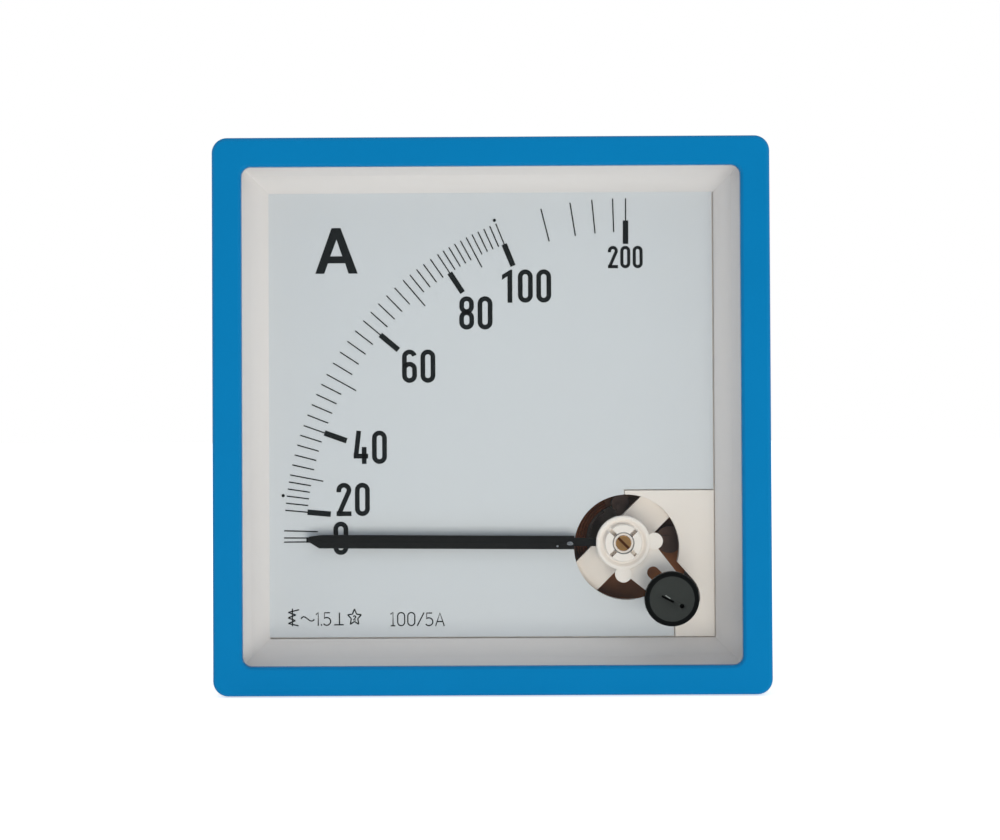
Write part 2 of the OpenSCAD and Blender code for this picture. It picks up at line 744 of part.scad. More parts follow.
// Terminal stud with a hexagon head inside the case
module stud(side) color("#c8a24e")
    at([side * stud_spacing / 2, stud_z]) {
        between(floor_front - 3.8, floor_front - 0.8) circle(8 / sqrt(3), $fn = 6);
        turned([
            [0, floor_front - 1.5], [stud_radius, floor_front - 1.5], [stud_radius, boss_back + 9.9],
            [stud_radius - 0.2, boss_back + 10.1], [stud_radius - 0.2, boss_back + 10.8],
            [stud_radius, boss_back + 11],
            [stud_radius, boss_back + 16.6], [stud_radius - 0.4, boss_back + 17], [0, boss_back + 17]
        ]);
    }
module stud_left() stud(-1);
module stud_right() stud(1);

// Flat washers: one against each boss and one under each clamping nut
module flat_washers() color("#c9ccd0")
    at_terminals() for (y = [boss_back, boss_back + 4.5]) ring(stud_radius + play, 5, y, y + 1);

// Spring lock washers with a cut
module lock_washers() color("#a9adb2")
    at_terminals() arc_wall(stud_radius + play, 4.2, boss_back + 5.5, boss_back + 6.7, 98, 446);

// Nuts that fix the studs to the case
module fixing_nuts() color("#c8a24e")
    at_terminals() nut(8, stud_radius + 0.02, boss_back + 1, boss_back + 4.5);

// Nuts that clamp the wiring
module clamp_nuts() color("#c8a24e")
    at_terminals() turn(14) nut(8, stud_radius + 0.02, boss_back + 6.7, boss_back + 10.7);

bezel();
window();
zero_adjuster();
case();
mask();
dial_plate();
scale_marks();
carrier();
carrier_screws();
bridge();
bridge_screws();
bearing_bush();
front_bearing_screw();
front_jewel();
zero_lever();
spring_stud();
hairspring();
spring_collet();
spindle();
pointer_carrier();
pointer();
balance_arm();
balance_weights();
moving_vane();
fixed_vane();
coil_bobbin();
coil_winding();
damping_vane();
damping_magnets();
magnet_yoke();
pillars();
coil_spacers();
pillar_nuts();
rear_plate();
rear_bearing_screw();
rear_jewel();
lead_left();
lead_right();
lead_lugs();
stud_left();
stud_right();
flat_washers();
lock_washers();
fixing_nuts();
clamp_nuts();
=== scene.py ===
"""Analog panel meter, 96 mm square: finishes, lettering and fine detail around its solid model."""

import json
import math

import bmesh
import bpy
from mathutils import Matrix, Vector


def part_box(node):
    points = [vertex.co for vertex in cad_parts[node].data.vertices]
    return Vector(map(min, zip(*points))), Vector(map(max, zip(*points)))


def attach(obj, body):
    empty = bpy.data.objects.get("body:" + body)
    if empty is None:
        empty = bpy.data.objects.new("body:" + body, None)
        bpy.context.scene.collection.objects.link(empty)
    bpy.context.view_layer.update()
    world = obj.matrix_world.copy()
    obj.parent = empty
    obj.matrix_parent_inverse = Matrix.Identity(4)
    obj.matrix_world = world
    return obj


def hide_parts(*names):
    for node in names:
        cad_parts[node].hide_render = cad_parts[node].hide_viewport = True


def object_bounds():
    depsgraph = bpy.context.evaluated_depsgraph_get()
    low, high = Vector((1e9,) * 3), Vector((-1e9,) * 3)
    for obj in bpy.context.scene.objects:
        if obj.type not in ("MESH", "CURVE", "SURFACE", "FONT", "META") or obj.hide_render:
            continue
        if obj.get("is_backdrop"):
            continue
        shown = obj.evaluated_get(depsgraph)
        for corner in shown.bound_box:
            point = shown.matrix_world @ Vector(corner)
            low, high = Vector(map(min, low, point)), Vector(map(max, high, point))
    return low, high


bl_info = {
    "name": "Analog panel meter",
    "version": (1, 0, 0),
    "blender": (4, 5, 0),
    "location": "3D View > Sidebar > Panel meter",
    "description": "Finishes, lettering and fine detail of a square moving-iron panel meter",
    "category": "Object",
}

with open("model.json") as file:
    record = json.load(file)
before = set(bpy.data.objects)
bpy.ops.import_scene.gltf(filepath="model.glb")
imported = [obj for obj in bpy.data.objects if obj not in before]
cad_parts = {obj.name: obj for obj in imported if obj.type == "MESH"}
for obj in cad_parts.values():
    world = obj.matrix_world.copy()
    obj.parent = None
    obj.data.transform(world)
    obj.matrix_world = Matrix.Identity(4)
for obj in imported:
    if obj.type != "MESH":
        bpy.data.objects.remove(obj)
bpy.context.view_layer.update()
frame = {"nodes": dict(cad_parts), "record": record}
NODES = frame["nodes"]

MM = 0.001
# Places on the front, in X and Z
PIVOT = (22.7 * MM, -22.2 * MM)
SCALE_MIDDLE = (23.25 * MM, -21.8 * MM)
ADJUSTER = (30.7 * MM, -31.5 * MM)
PILLAR = (34.72 * MM, -34.22 * MM)

POINTER_REST = 0.45  # degrees above the horizontal
DIAL_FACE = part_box("dial_plate")[0][1]
SAME_POINT = 1e-7  # points nearer to each other than this are joined
STAND_UP = Matrix.Rotation(math.radians(90), 4, "X")  # turns what is drawn flat to face -Y
LAY_DOWN = Matrix.Rotation(math.radians(-90), 4, "X")  # turns what is wound upwards along +Y


def linear(code):
    """Linear RGBA of an sRGB hex colour."""
    parts = [int(code[i : i + 2], 16) / 255 for i in (1, 3, 5)]
    return [p / 12.92 if p <= 0.04045 else ((p + 0.055) / 1.055) ** 2.4 for p in parts] + [1.0]


def shade(colour, factor):
    """The same colour, lighter or darker by a factor."""
    return [min(1.0, c * factor) for c in colour[:3]] + [1.0]


# ---- Properties ----


def colour_property(name, description, code):
    """Colour that a user may change, from its sRGB hex value."""
    return bpy.props.FloatVectorProperty(
        name=name, description=description, subtype="COLOR", min=0, max=1, default=linear(code)[:3]
    )


def length_property(name, description, millimetres):
    """Length that a user may change, from its value in millimetres."""
    return bpy.props.FloatProperty(
        name=name, description=description, unit="LENGTH", precision=5, min=0, default=millimetres * MM
    )


class MeterColours(bpy.types.PropertyGroup):
    """Colours of the meter's finishes"""

    bezel: colour_property("Bezel", "Coloured bezel that clips on the case", "#007bb6")
    mask: colour_property("Mask", "Moulded frame between window and dial", "#ece6e3")
    dial: colour_property("Dial", "Enamel of the dial plate", "#dadde0")
    ink: colour_property("Ink", "Printing ink of scale and numerals", "#161b1c")
    moulding: colour_property("Moulding", "Carrier and bridge behind the dial", "#f5ece4")
    pointer: colour_property("Pointer", "Paint of the pointer", "#121312")
    adjuster: colour_property("Adjuster", "Zero adjuster on the window", "#0b0d0d")
    case: colour_property("Case", "Case behind the panel", "#17181a")


class MeterLettering(bpy.types.PropertyGroup):
    """Sizes of the printing on the dial"""

    numeral_height: length_property("Numeral height", "Height of the numerals of the main scale", 5.8)
    end_height: length_property("End numeral height", "Height of the numeral of the overload end", 3.9)
    unit_height: length_property("Unit height", "Height of the unit letter", 8.0)
    sign_height: length_property("Sign height", "Height of the row of signs", 2.36)
    sign_stroke: length_property("Sign stroke", "Stroke width of the row of signs", 0.21)
    film: length_property("Film thickness", "Thickness of the printed ink", 0.04)


class MeterDetail(bpy.types.PropertyGroup):
    """Sizes of edges, winding and threads"""

    edge: length_property("Edge radius", "Rounding of the edges of the front mouldings", 0.22)
    small_edge: length_property("Small edge radius", "Rounding of the edges of small pieces", 0.09)
    wire: length_property("Wire diameter", "Enamelled wire of the coil", 0.56)
    turns: bpy.props.IntProperty(
        name="Turns", description="Turns in the coil's outer layer", min=1, default=24
    )
    thread_pitch: length_property("Thread pitch", "Pitch of the terminal thread", 0.8)


class MeterStage(bpy.types.PropertyGroup):
    """Light on the meter"""

    key_power: bpy.props.FloatProperty(
        name="Key power", description="Power of the soft main light", unit="POWER", min=0, default=3.55
    )
    key_size: length_property("Key size", "Side of the soft main light", 420)
    ambient: bpy.props.FloatProperty(
        name="Ambient", description="Brightness of the room around the meter", min=0, default=0.75
    )


GROUPS = {
    "meter_colours": MeterColours,
    "meter_lettering": MeterLettering,
    "meter_detail": MeterDetail,
    "meter_stage": MeterStage,
}


# ---- Node trees ----


def add(tree, kind, inputs=None, **settings):
    """Adds a node with its settings; an input takes a value or is linked to an output."""
    node = tree.nodes.new(kind)
    for name, value in settings.items():
        setattr(node, name, value)
    for key, value in (inputs or {}).items():
        if isinstance(value, bpy.types.NodeSocket):
            tree.links.new(value, node.inputs[key])
        else:
            node.inputs[key].default_value = value
    return node


def new_material(name, colour):
    """Empty node material with a colour for the solid view; returns it and its tree."""
    material = bpy.data.materials.new(name)
    material.use_nodes = True
    material.diffuse_color = shade(colour, 1)
    material.node_tree.nodes.clear()
    return material, material.node_tree


def surfaced(name, colour, clouding, cloud_size, grain, relief, roughness, spread=0.06, **shader_values):
    """Material with clouded colour, and a grain that moves both height and roughness.

    The clouding is a share of the colour; cloud size, grain and relief are in millimetres. A real
    grain finer than a tenth of a millimetre is drawn at that size or coarser, so that it shows.
    """
    material, tree = new_material(name, colour)
    place = add(tree, "ShaderNodeTexCoord").outputs["Object"]
    clouds = {"Vector": place, "Scale": 1 / (cloud_size * MM), "Detail": 3.0}
    cloud = add(tree, "ShaderNodeTexNoise", clouds)
    tone = add(
        tree,
        "ShaderNodeMix",
        {
            "Factor": cloud.outputs["Fac"],
            "A": shade(colour, 1 - clouding),
            "B": shade(colour, 1 + clouding),
        },
        data_type="RGBA",
    )
    grains = {"Vector": place, "Scale": 1 / (grain * MM), "Detail": 2.0}
    fine = add(tree, "ShaderNodeTexNoise", grains)
    rough = add(
        tree,
        "ShaderNodeMapRange",
        {
            "Value": fine.outputs["Fac"],
            "From Min": 0.3,
            "From Max": 0.7,
            "To Min": roughness - spread,
            "To Max": roughness + spread,
        },
    )
    bump = add(
        tree, "ShaderNodeBump", {"Height": fine.outputs["Fac"], "Distance": relief * MM, "Strength": 0.6}
    )
    shader = add(
        tree,
        "ShaderNodeBsdfPrincipled",
        {
            "Base Color": tone.outputs["Result"],
            "Roughness": rough.outputs["Result"],
            "Normal": bump.outputs["Normal"],
            **shader_values,
        },
    )
    add(tree, "ShaderNodeOutputMaterial", {"Surface": shader.outputs["BSDF"]})
    return material


WAVE_LENGTH = 0.314  # from ring to ring of a wave texture of scale 1
SLOT_FADE = 0.25 * MM  # depth over which the painted shade in a slot sets in


def turned_metal(name, code, centre, pitch, roughness, slot_floor=None):
    """Metal cut on a lathe: rings round the axis of the piece, and painted shade, dark brown, at the
    floor of its slot.

    Real rings are about half as far apart; they are drawn as coarse as they need to show.
    """
    colour = linear(code)
    material, tree = new_material(name, colour)
    coord = add(tree, "ShaderNodeTexCoord")
    place = add(
        tree,
        "ShaderNodeMapping",
        {"Vector": coord.outputs["Object"], "Location": (-centre[0], 0.0, -centre[1])},
    )
    rings = add(
        tree,
        "ShaderNodeTexWave",
        {
            "Vector": place.outputs["Vector"],
            "Scale": WAVE_LENGTH / pitch,
            "Distortion": 0.6,
            "Detail": 1.0,
        },
        wave_type="RINGS",
        rings_direction="Y",
    )
    tarnish = add(
        tree, "ShaderNodeTexNoise", {"Vector": place.outputs["Vector"], "Scale": 1 / (1.2 * MM)}
    )
    tone = add(
        tree,
        "ShaderNodeMix",
        {"Factor": tarnish.outputs["Fac"], "A": shade(colour, 0.8), "B": shade(colour, 1.12)},
        data_type="RGBA",
    )
    # Towards the floor of the slot the colour turns dark brown: painted shade in the slot
    if slot_floor is not None:
        axes = add(tree, "ShaderNodeSeparateXYZ", {"Vector": coord.outputs["Object"]})
        deep = add(
            tree,
            "ShaderNodeMapRange",
            {"Value": axes.outputs["Y"], "From Min": slot_floor - SLOT_FADE, "From Max": slot_floor},
        )
        tone = add(
            tree,
            "ShaderNodeMix",
            {"Factor": deep.outputs["Result"], "A": tone.outputs["Result"], "B": linear("#9a5c30")},
            data_type="RGBA",
        )
    bump = add(
        tree, "ShaderNodeBump", {"Height": rings.outputs["Fac"], "Distance": 0.01 * MM, "Strength": 0.5}
    )
    shader = add(
        tree,
        "ShaderNodeBsdfPrincipled",
        {
            "Base Color": tone.outputs["Result"],
            "Metallic": 1.0,
            "Roughness": roughness,
            "Normal": bump.outputs["Normal"],
        },
    )
    add(tree, "ShaderNodeOutputMaterial", {"Surface": shader.outputs["BSDF"]})
    return material


def clear_pane(name, code):
    """Polished clear sheet that bends and mirrors what is seen, and lets light through freely."""
    colour = linear(code)
    material, tree = new_material(name, colour)
    glass = add(
        tree,
        "ShaderNodeBsdfPrincipled",
        {
            "Base Color": colour,
            "Roughness": 0.015,
            "IOR": 1.49,
            "Specular IOR Level": 0.12,
            "Transmission Weight": 1.0,
        },
    )
    clear = add(tree, "ShaderNodeBsdfTransparent", {"Color": colour})
    ray = add(tree, "ShaderNodeLightPath")
    lighting = add(
        tree,
        "ShaderNodeMath",
        {0: ray.outputs["Is Shadow Ray"], 1: ray.outputs["Is Diffuse Ray"]},
        operation="MAXIMUM",
    )
    mixed = add(
        tree,
        "ShaderNodeMixShader",
        {0: lighting.outputs[0], 1: glass.outputs["BSDF"], 2: clear.outputs["BSDF"]},
    )
    add(tree, "ShaderNodeOutputMaterial", {"Surface": mixed.outputs["Shader"]})
    return material


def finishes(colours):
    """All materials of the meter by slot name."""
    return {
        # Injection-moulded polycarbonate, spark-eroded mould: satin, with a very fine even grain
        "bezel_blue": surfaced(
            "polycarbonate_moulded_blue", colours.bezel, 0.05, 18, 0.35, 0.012, 0.42,
            **{"Specular IOR Level": 0.1, "IOR": 1.58},
        ),
        # Clear acrylic sheet: nearly unseen from the front, a faint cold edge
        "window_clear": clear_pane("acrylic_sheet_polished", "#fcfdfd"),
        # Moulded ABS, semi-gloss: near black, with a soft line of light round its rim
        "adjuster_black": surfaced(
            "abs_moulded_black_semigloss", colours.adjuster, 0.12, 3, 0.2, 0.006, 0.36, 0.05,
            **{"Specular IOR Level": 0.12},
        ),
        # A pale grey strip of the same ABS along the edge of the slot: a painted glint where the slot's
        # edge catches the light
        "adjuster_painted_glint": surfaced(
            "abs_black_painted_glint", linear("#7f8481"), 0.1, 0.5, 0.1, 0.004, 0.4, 0.05
        ),
        # Glass-filled ABS: dull black with a leathery grain of a third of a millimetre
        "case_black": surfaced(
            "abs_glass_filled_black", colours.case, 0.15, 12, 0.3, 0.035, 0.55, 0.08
        ),
        # Moulded ABS, matt: soft white slopes that take up the light's direction
        "mask_white": surfaced(
            "abs_moulded_white_matt", colours.mask, 0.015, 20, 0.3, 0.008, 0.6,
            **{"Specular IOR Level": 0.3},
        ),
        # Stoved enamel on aluminium sheet: flat cold white, a trace of orange peel
        "dial_paint": surfaced(
            "aluminium_sheet_enamelled_white", colours.dial, 0.012, 25, 0.6, 0.004, 0.55,
            **{"Specular IOR Level": 0.3},
        ),
        # Screen-printing ink: dull, faintly uneven black
        "scale_ink": surfaced(
            "screen_printing_ink_black", colours.ink, 0.1, 4, 0.12, 0.003, 0.62,
            **{"Specular IOR Level": 0.12},
        ),
        # Moulded acetal: waxy white, slightly translucent to the eye
        "moulding_white": surfaced(
            "acetal_moulded_white", colours.moulding, 0.02, 6, 0.25, 0.006, 0.42,
            **{
                "Subsurface Weight": 0.12,
                "Subsurface Radius": (1.0, 0.9, 0.8),
                "Subsurface Scale": 0.4 * MM,
            },
        ),
        # Zinc-plated steel: pale, a little cloudy
        "steel_plated": surfaced(
            "steel_zinc_plated", linear("#b9bcbf"), 0.1, 1.5, 0.12, 0.004, 0.3, 0.08,
            Metallic=1.0,
        ),
        # Turned brass: warm, with lathe rings
        "brass": turned_metal("brass_turned", "#c79a4b", PIVOT, 0.12 * MM, 0.28),
        # The same brass on the bearing screw: warmer in the light, with painted shade, dark brown, at
        # the floor of its slot
        "screw_brass": turned_metal(
            "brass_turned_slotted", "#efb878", PIVOT, 0.12 * MM, 0.5, slot_floor=-0.72 * MM
        ),
        # Brass painted brown-black as painted shade for the balance arm and weights in the dark inside
        # of the movement: hardly shines
        "brass_painted_shade": surfaced(
            "brass_painted_shade", linear("#57443c"), 0.25, 1.5, 0.15, 0.004, 0.5, 0.08
        ),
        # The eroded, matt dish of the adjuster: greyer than its polished rim
        "adjuster_dish": surfaced(
            "abs_moulded_black_eroded", linear("#343735"), 0.1, 2, 0.15, 0.006, 0.6, 0.05,
            **{"Specular IOR Level": 0.2},
        ),
        # Synthetic ruby, polished: a deep red point with a sharp glint
        "jewel": surfaced(
            "ruby_polished", linear("#a3122f"), 0.1, 0.5, 0.1, 0.001, 0.08, 0.02
        ),
        # Phosphor bronze strip, rolled: a warm, bright line along the spiral
        "spring_bronze": surfaced(
            "phosphor_bronze_rolled", linear("#b0793f"), 0.08, 0.6, 0.05, 0.002, 0.28, 0.05,
            Metallic=1.0,
        ),
        # Aluminium channel with stoved black paint: matt, a soft line of light on its edges
        "pointer_black": surfaced(
            "aluminium_painted_black", colours.pointer, 0.12, 5, 0.15, 0.006, 0.5, 0.06,
            **{"Specular IOR Level": 0.16},
        ),
        # Annealed nickel iron sheet, pickled: grey and dull
        "iron": surfaced(
            "nickel_iron_annealed", linear("#7d736b"), 0.12, 1.2, 0.15, 0.006, 0.42, 0.08,
            Metallic=1.0,
        ),
        # Phenolic moulding: dark red-brown, half gloss
        "bobbin_brown": surfaced(
            "phenolic_moulded_brown", linear("#a3683f"), 0.45, 3, 0.3, 0.01, 0.36, 0.06
        ),
        # Enamelled copper wire: orange-brown metal under clear varnish
        "copper_enamelled": surfaced(
            "copper_wire_enamelled", linear("#b07a48"), 0.15, 1.5, 0.2, 0.004, 0.26, 0.05,
            **{
                "Metallic": 0.6,
                "Coat Weight": 0.6,
                "Coat Roughness": 0.12,
                "Coat Tint": linear("#f0b070"),
            },
        ),
        # Rolled aluminium sheet: pale, soft sheen
        "aluminium_sheet": surfaced(
            "aluminium_sheet_rolled", linear("#c9ccd0"), 0.06, 2, 0.12, 0.004, 0.35, 0.06,
            Metallic=1.0,
        ),
        # Sintered ferrite: charcoal, ground faces
        "magnet_dark": surfaced(
            "ferrite_sintered_ground", linear("#35353a"), 0.12, 0.8, 0.1, 0.006, 0.5, 0.08
        ),
    }


# ---- Pieces ----


def put(name, data):
    """New piece at the origin from a mesh or a curve."""
    piece = bpy.data.objects.new(name, data)
    bpy.context.collection.objects.link(piece)
    return piece


def settle(piece):
    """Turns a piece with modifiers, or a curve, into a plain mesh object at the origin."""
    depsgraph = bpy.context.evaluated_depsgraph_get()
    mesh = bpy.data.meshes.new_from_object(piece.evaluated_get(depsgraph), depsgraph=depsgraph)
    name = piece.name
    mesh.name = name
    bpy.data.objects.remove(piece)
    return put(name, mesh)


def close(mesh):
    """Joins the points of a mesh that coincide and turns its faces outwards."""
    shape = bmesh.new()
    shape.from_mesh(mesh)
    bmesh.ops.remove_doubles(shape, verts=shape.verts, dist=SAME_POINT)
    bmesh.ops.recalc_face_normals(shape, faces=shape.faces)
    shape.to_mesh(mesh)
    shape.free()


def smooth(piece, angle):
    """Smooths the curved faces of a piece and keeps edges sharper than an angle in degrees."""
    piece.data.shade_smooth()
    piece.data.set_sharp_from_angle(angle=math.radians(angle))


def bevel(piece, width, angle):
    """Rounds the edges of a piece that are sharper than an angle in degrees."""
    rounding = piece.modifiers.new("rounding", "BEVEL")
    rounding.width = width
    rounding.segments = 2
    rounding.limit_method = "ANGLE"
    rounding.angle_limit = math.radians(angle)
    return settle(piece)


def show(piece, body, slot, material, *nodes):
    """Gives a finished piece its material and its body, and hides the nodes it stands for; its slot is
    not used.
    """
    piece.data.materials.clear()
    piece.data.materials.append(material)
    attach(piece, body)
    if nodes:
        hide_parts(*nodes)
    return piece


FLAT = 0.6  # degrees; faces that meet at less than this are one flat


def merged(node, name):
    """Copy of a node as a closed mesh, with its coplanar triangles joined into flats."""
    mesh = bpy.data.meshes.new(name)
    shape = bmesh.new()
    shape.from_mesh(NODES[node].data)
    bmesh.ops.remove_doubles(shape, verts=shape.verts, dist=1e-6)
    bmesh.ops.dissolve_limit(
        shape,
        angle_limit=math.radians(FLAT),
        verts=shape.verts,
        edges=shape.edges,
        use_dissolve_boundaries=False,
    )
    shape.to_mesh(mesh)
    shape.free()
    for layer in ("custom_normal", "sharp_face", "sharp_edge"):
        if layer in mesh.attributes:
            mesh.attributes.remove(mesh.attributes[layer])
    return put(name, mesh)


def prism(name, outlines, front, back):
    """Closed block between two depths from flat outlines in X and Z; an inner outline is a hole."""
    piece = onto_face(filled_outlines(name, outlines, back - front), (front + back) / 2)
    close(piece.data)
    return piece


def cut(piece, cutter):
    """Takes a cutter out of a piece and removes the cutter."""
    difference = piece.modifiers.new("cut", "BOOLEAN")
    difference.operation = "DIFFERENCE"
    difference.solver = "EXACT"
    difference.object = cutter
    piece = settle(piece)
    bpy.data.objects.remove(cutter)
    return piece


def turned(name, profile, centre, steps=72):
    """Turned piece about an axis along Y, from its (radius, depth) points in millimetres."""
    shape = bmesh.new()
    points = [shape.verts.new((centre[0] + r * MM, y * MM, centre[1])) for r, y in profile]
    edges = [shape.edges.new(pair) for pair in zip(points, points[1:])]
    bmesh.ops.spin(
        shape, geom=points + edges, cent=(centre[0], 0, centre[1]), axis=(0, 1, 0),
        angle=math.tau, steps=steps,
    )
    mesh = bpy.data.meshes.new(name)
    shape.to_mesh(mesh)
    shape.free()
    close(mesh)
    piece = put(name, mesh)
    smooth(piece, 35)
    return piece


def rounded(node, width, angle=32, cutter=None):
    """Copy of a node with rounded edges and smooth curved faces, after a cutter is taken out."""
    piece = merged(node, node + "_finished")
    if cutter:
        piece = cut(piece, cutter)
    piece = bevel(piece, width, angle)
    smooth(piece, 48)
    weighted = piece.modifiers.new("flats", "WEIGHTED_NORMAL")
    weighted.keep_sharp = True
    return settle(piece)


def paint(node, material):
    """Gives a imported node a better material."""
    for slot in NODES[node].material_slots:
        slot.material = material


def new_tree(name, inputs):
    """Geometry tree with named inputs; returns it, its input node and the inputs' identifiers."""
    tree = bpy.data.node_groups.new(name, "GeometryNodeTree")
    tree.interface.new_socket("Geometry", in_out="OUTPUT", socket_type="NodeSocketGeometry")
    tree.interface.new_socket("Geometry", in_out="INPUT", socket_type="NodeSocketGeometry")
    known = {}
    for label, kind in inputs.items():
        known[label] = tree.interface.new_socket(label, in_out="INPUT", socket_type=kind).identifier
    return tree, add(tree, "NodeGroupInput"), known


def close_tree(tree, geometry, source):
    """Ends a geometry tree in real geometry with its material."""
    real = add(tree, "GeometryNodeRealizeInstances", {"Geometry": geometry})
    made = add(
        tree,
        "GeometryNodeSetMaterial",
        {"Geometry": real.outputs["Geometry"], "Material": source.outputs["Material"]},
    )
    add(tree, "NodeGroupOutput", {"Geometry": made.outputs["Geometry"]})


def grown(name, carrier, tree, known, values):
    """Runs a geometry tree on a carrier and returns the result as a plain mesh object."""
    piece = put(name, carrier)
    modifier = piece.modifiers.new(tree.name, "NODES")
    modifier.node_group = tree
    for label, value in values.items():
        modifier[known[label]] = value
    return settle(piece)


def wound(name, helix, radius, turns, rise, section, material, steps, sides):
    """Helix of wire or of a thread's ridge that winds up along Z from the origin.

    Steps are the points of one turn; section is the radius of the wire, and sides are its sides.
    """
    tree, known = helix
    values = {
        "Radius": radius,
        "Turns": turns,
        "Rise": rise,
        "Steps": steps,
        "Section": section,
        "Sides": sides,
        "Material": material,
    }
    return grown(name, bpy.data.meshes.new(name), tree, known, values)


def stroke_tree():
    """Flat printed stroke that follows the carrier's curves, in their own plane."""
    tree, source, known = new_tree(
        "printed_stroke",
        {"Stroke": "NodeSocketFloat", "Film": "NodeSocketFloat", "Material": "NodeSocketMaterial"},
    )
    flat = add(
        tree, "GeometryNodeSetCurveNormal", {"Curve": source.outputs["Geometry"]}, mode="Z_UP"
    )
    section = add(
        tree,
        "GeometryNodeCurvePrimitiveQuadrilateral",
        {"Width": source.outputs["Stroke"], "Height": source.outputs["Film"]},
    )
    swept = add(
        tree,
        "GeometryNodeCurveToMesh",
        {"Curve": flat.outputs["Curve"], "Profile Curve": section.outputs["Curve"], "Fill Caps": True},
    )
    close_tree(tree, swept.outputs["Mesh"], source)
    return tree, known


def helix_tree():
    """Wire or thread ridge that winds up along Z: radius, turns, rise and section."""
    tree, source, known = new_tree(
        "helix",
        {
            "Radius": "NodeSocketFloat",
            "Turns": "NodeSocketFloat",
            "Rise": "NodeSocketFloat",
            "Steps": "NodeSocketInt",
            "Section": "NodeSocketFloat",
            "Sides": "NodeSocketInt",
            "Material": "NodeSocketMaterial",
        },
    )
    coil = add(
        tree,
        "GeometryNodeCurveSpiral",
        {
            "Resolution": source.outputs["Steps"],
            "Rotations": source.outputs["Turns"],
            "Start Radius": source.outputs["Radius"],
            "End Radius": source.outputs["Radius"],
            "Height": source.outputs["Rise"],
        },
    )
    upright = add(tree, "GeometryNodeSetCurveNormal", {"Curve": coil.outputs["Curve"]}, mode="Z_UP")
    section = add(
        tree,
        "GeometryNodeCurvePrimitiveCircle",
        {"Resolution": source.outputs["Sides"], "Radius": source.outputs["Section"]},
    )
    swept = add(
        tree,
        "GeometryNodeCurveToMesh",
        {
            "Curve": upright.outputs["Curve"],
            "Profile Curve": section.outputs["Curve"],
            "Fill Caps": True,
        },
    )
    close_tree(tree, swept.outputs["Mesh"], source)
    return tree, known


# ---- Lettering ----

STROKE = 0.142  # share of the numeral's height
HALF = STROKE / 2
BOW = 0.153  # radius of a numeral's round ends, to the middle of the stroke
MIDDLE = HALF + BOW


def arc(centre, radius, start, end, steps=14):
    """Points on an arc, angles in degrees."""
    angles = [math.radians(start + (end - start) * i / steps) for i in range(steps + 1)]
    return [(centre[0] + radius * math.cos(a), centre[1] + radius * math.sin(a)) for a in angles]


def circle(centre, radius, count):
    """Points of a full circle, evenly spaced."""
    return arc(centre, radius, 0, 360 - 360 / count, count - 1)


def bar(middle, length, width, degrees):
    """Corners of a narrow rectangle turned by an angle about its middle."""
    along = Vector((math.cos(math.radians(degrees)), math.sin(math.radians(degrees))))
    across = Vector((-along.y, along.x))
    return [middle + length / 2 * sx * along + width / 2 * sy * across for sx, sy in SQUARE]


def segments(points):
    """Straight strokes from point to point, each with its own ends, for sharp corners."""
    return [(False, list(pair)) for pair in zip(points, points[1:])]


def loop(low, high, radius, middle=MIDDLE):
    """Closed upright loop with round ends, to the middle of its stroke."""
    return arc((middle, high), radius, 0, 180) + arc((middle, low), radius, 180, 360)


def star(centre, outer, inner, squeeze):
    """Outline of a five-pointed star, narrowed by a factor; its last point is its first."""
    points = []
    for i in range(11):
        radius = inner if i % 2 else outer
        angle = math.radians(90 + 36 * i)
        x = centre[0] + squeeze * radius * math.cos(angle)
        y = centre[1] + radius * math.sin(angle)
        points.append((x, y))
    return points


# A sign: its width, the space after it, then strokes as (closed, points), in shares of its height
NUMERALS = {
    "0": (0.443, 0.114, [(True, loop(0.222, 0.778, BOW))]),
    "1": (0.31, 0.17, []),
    "2": (
        0.45,
        0.107,
        [
            (False, [(HALF, 0.72)] + arc((MIDDLE, 0.778), BOW, 180, -15) + [(0.09, 0.10)]),
            (False, [(0, HALF), (0.45, HALF)]),
        ],
    ),
    "4": (
        0.437,
        0.12,
        [
            (False, [(0.158, 1), (0.07, 0.22)]),
            (False, [(0, 0.235), (0.437, 0.235)]),
            (False, [(0.319, 0.51), (0.319, 0)]),
        ],
    ),
    "6": (
        0.443,
        0.114,
        [
            (
                False,
                arc((MIDDLE, 0.778), BOW, 15, 180)
                + arc((MIDDLE, 0.222), BOW, 180, 360)
                + arc((MIDDLE, 0.41), BOW, 0, 150),
            )
        ],
    ),
    "8": (0.443, 0.114, [(True, loop(0.2215, 0.3555, BOW)), (True, loop(0.69, 0.7835, 0.148))]),
}
SQUARE = [(-1, -1), (1, -1), (1, 1), (-1, 1)]
FLAG_ONE = [(0.31, 0), (0.31, 1), (0.26, 1), (0, 0.84), (0, 0.69), (0.165, 0.8), (0.165, 0)]
UNIT_OUTLINE = [
    (0, 0), (0.197, 0), (0.279, 0.227), (0.655, 0.227), (0.729, 0), (0.931, 0), (0.557, 1), (0.36, 1)
]
UNIT_HOLE = [(0.33, 0.381), (0.591, 0.381), (0.468, 0.749)]

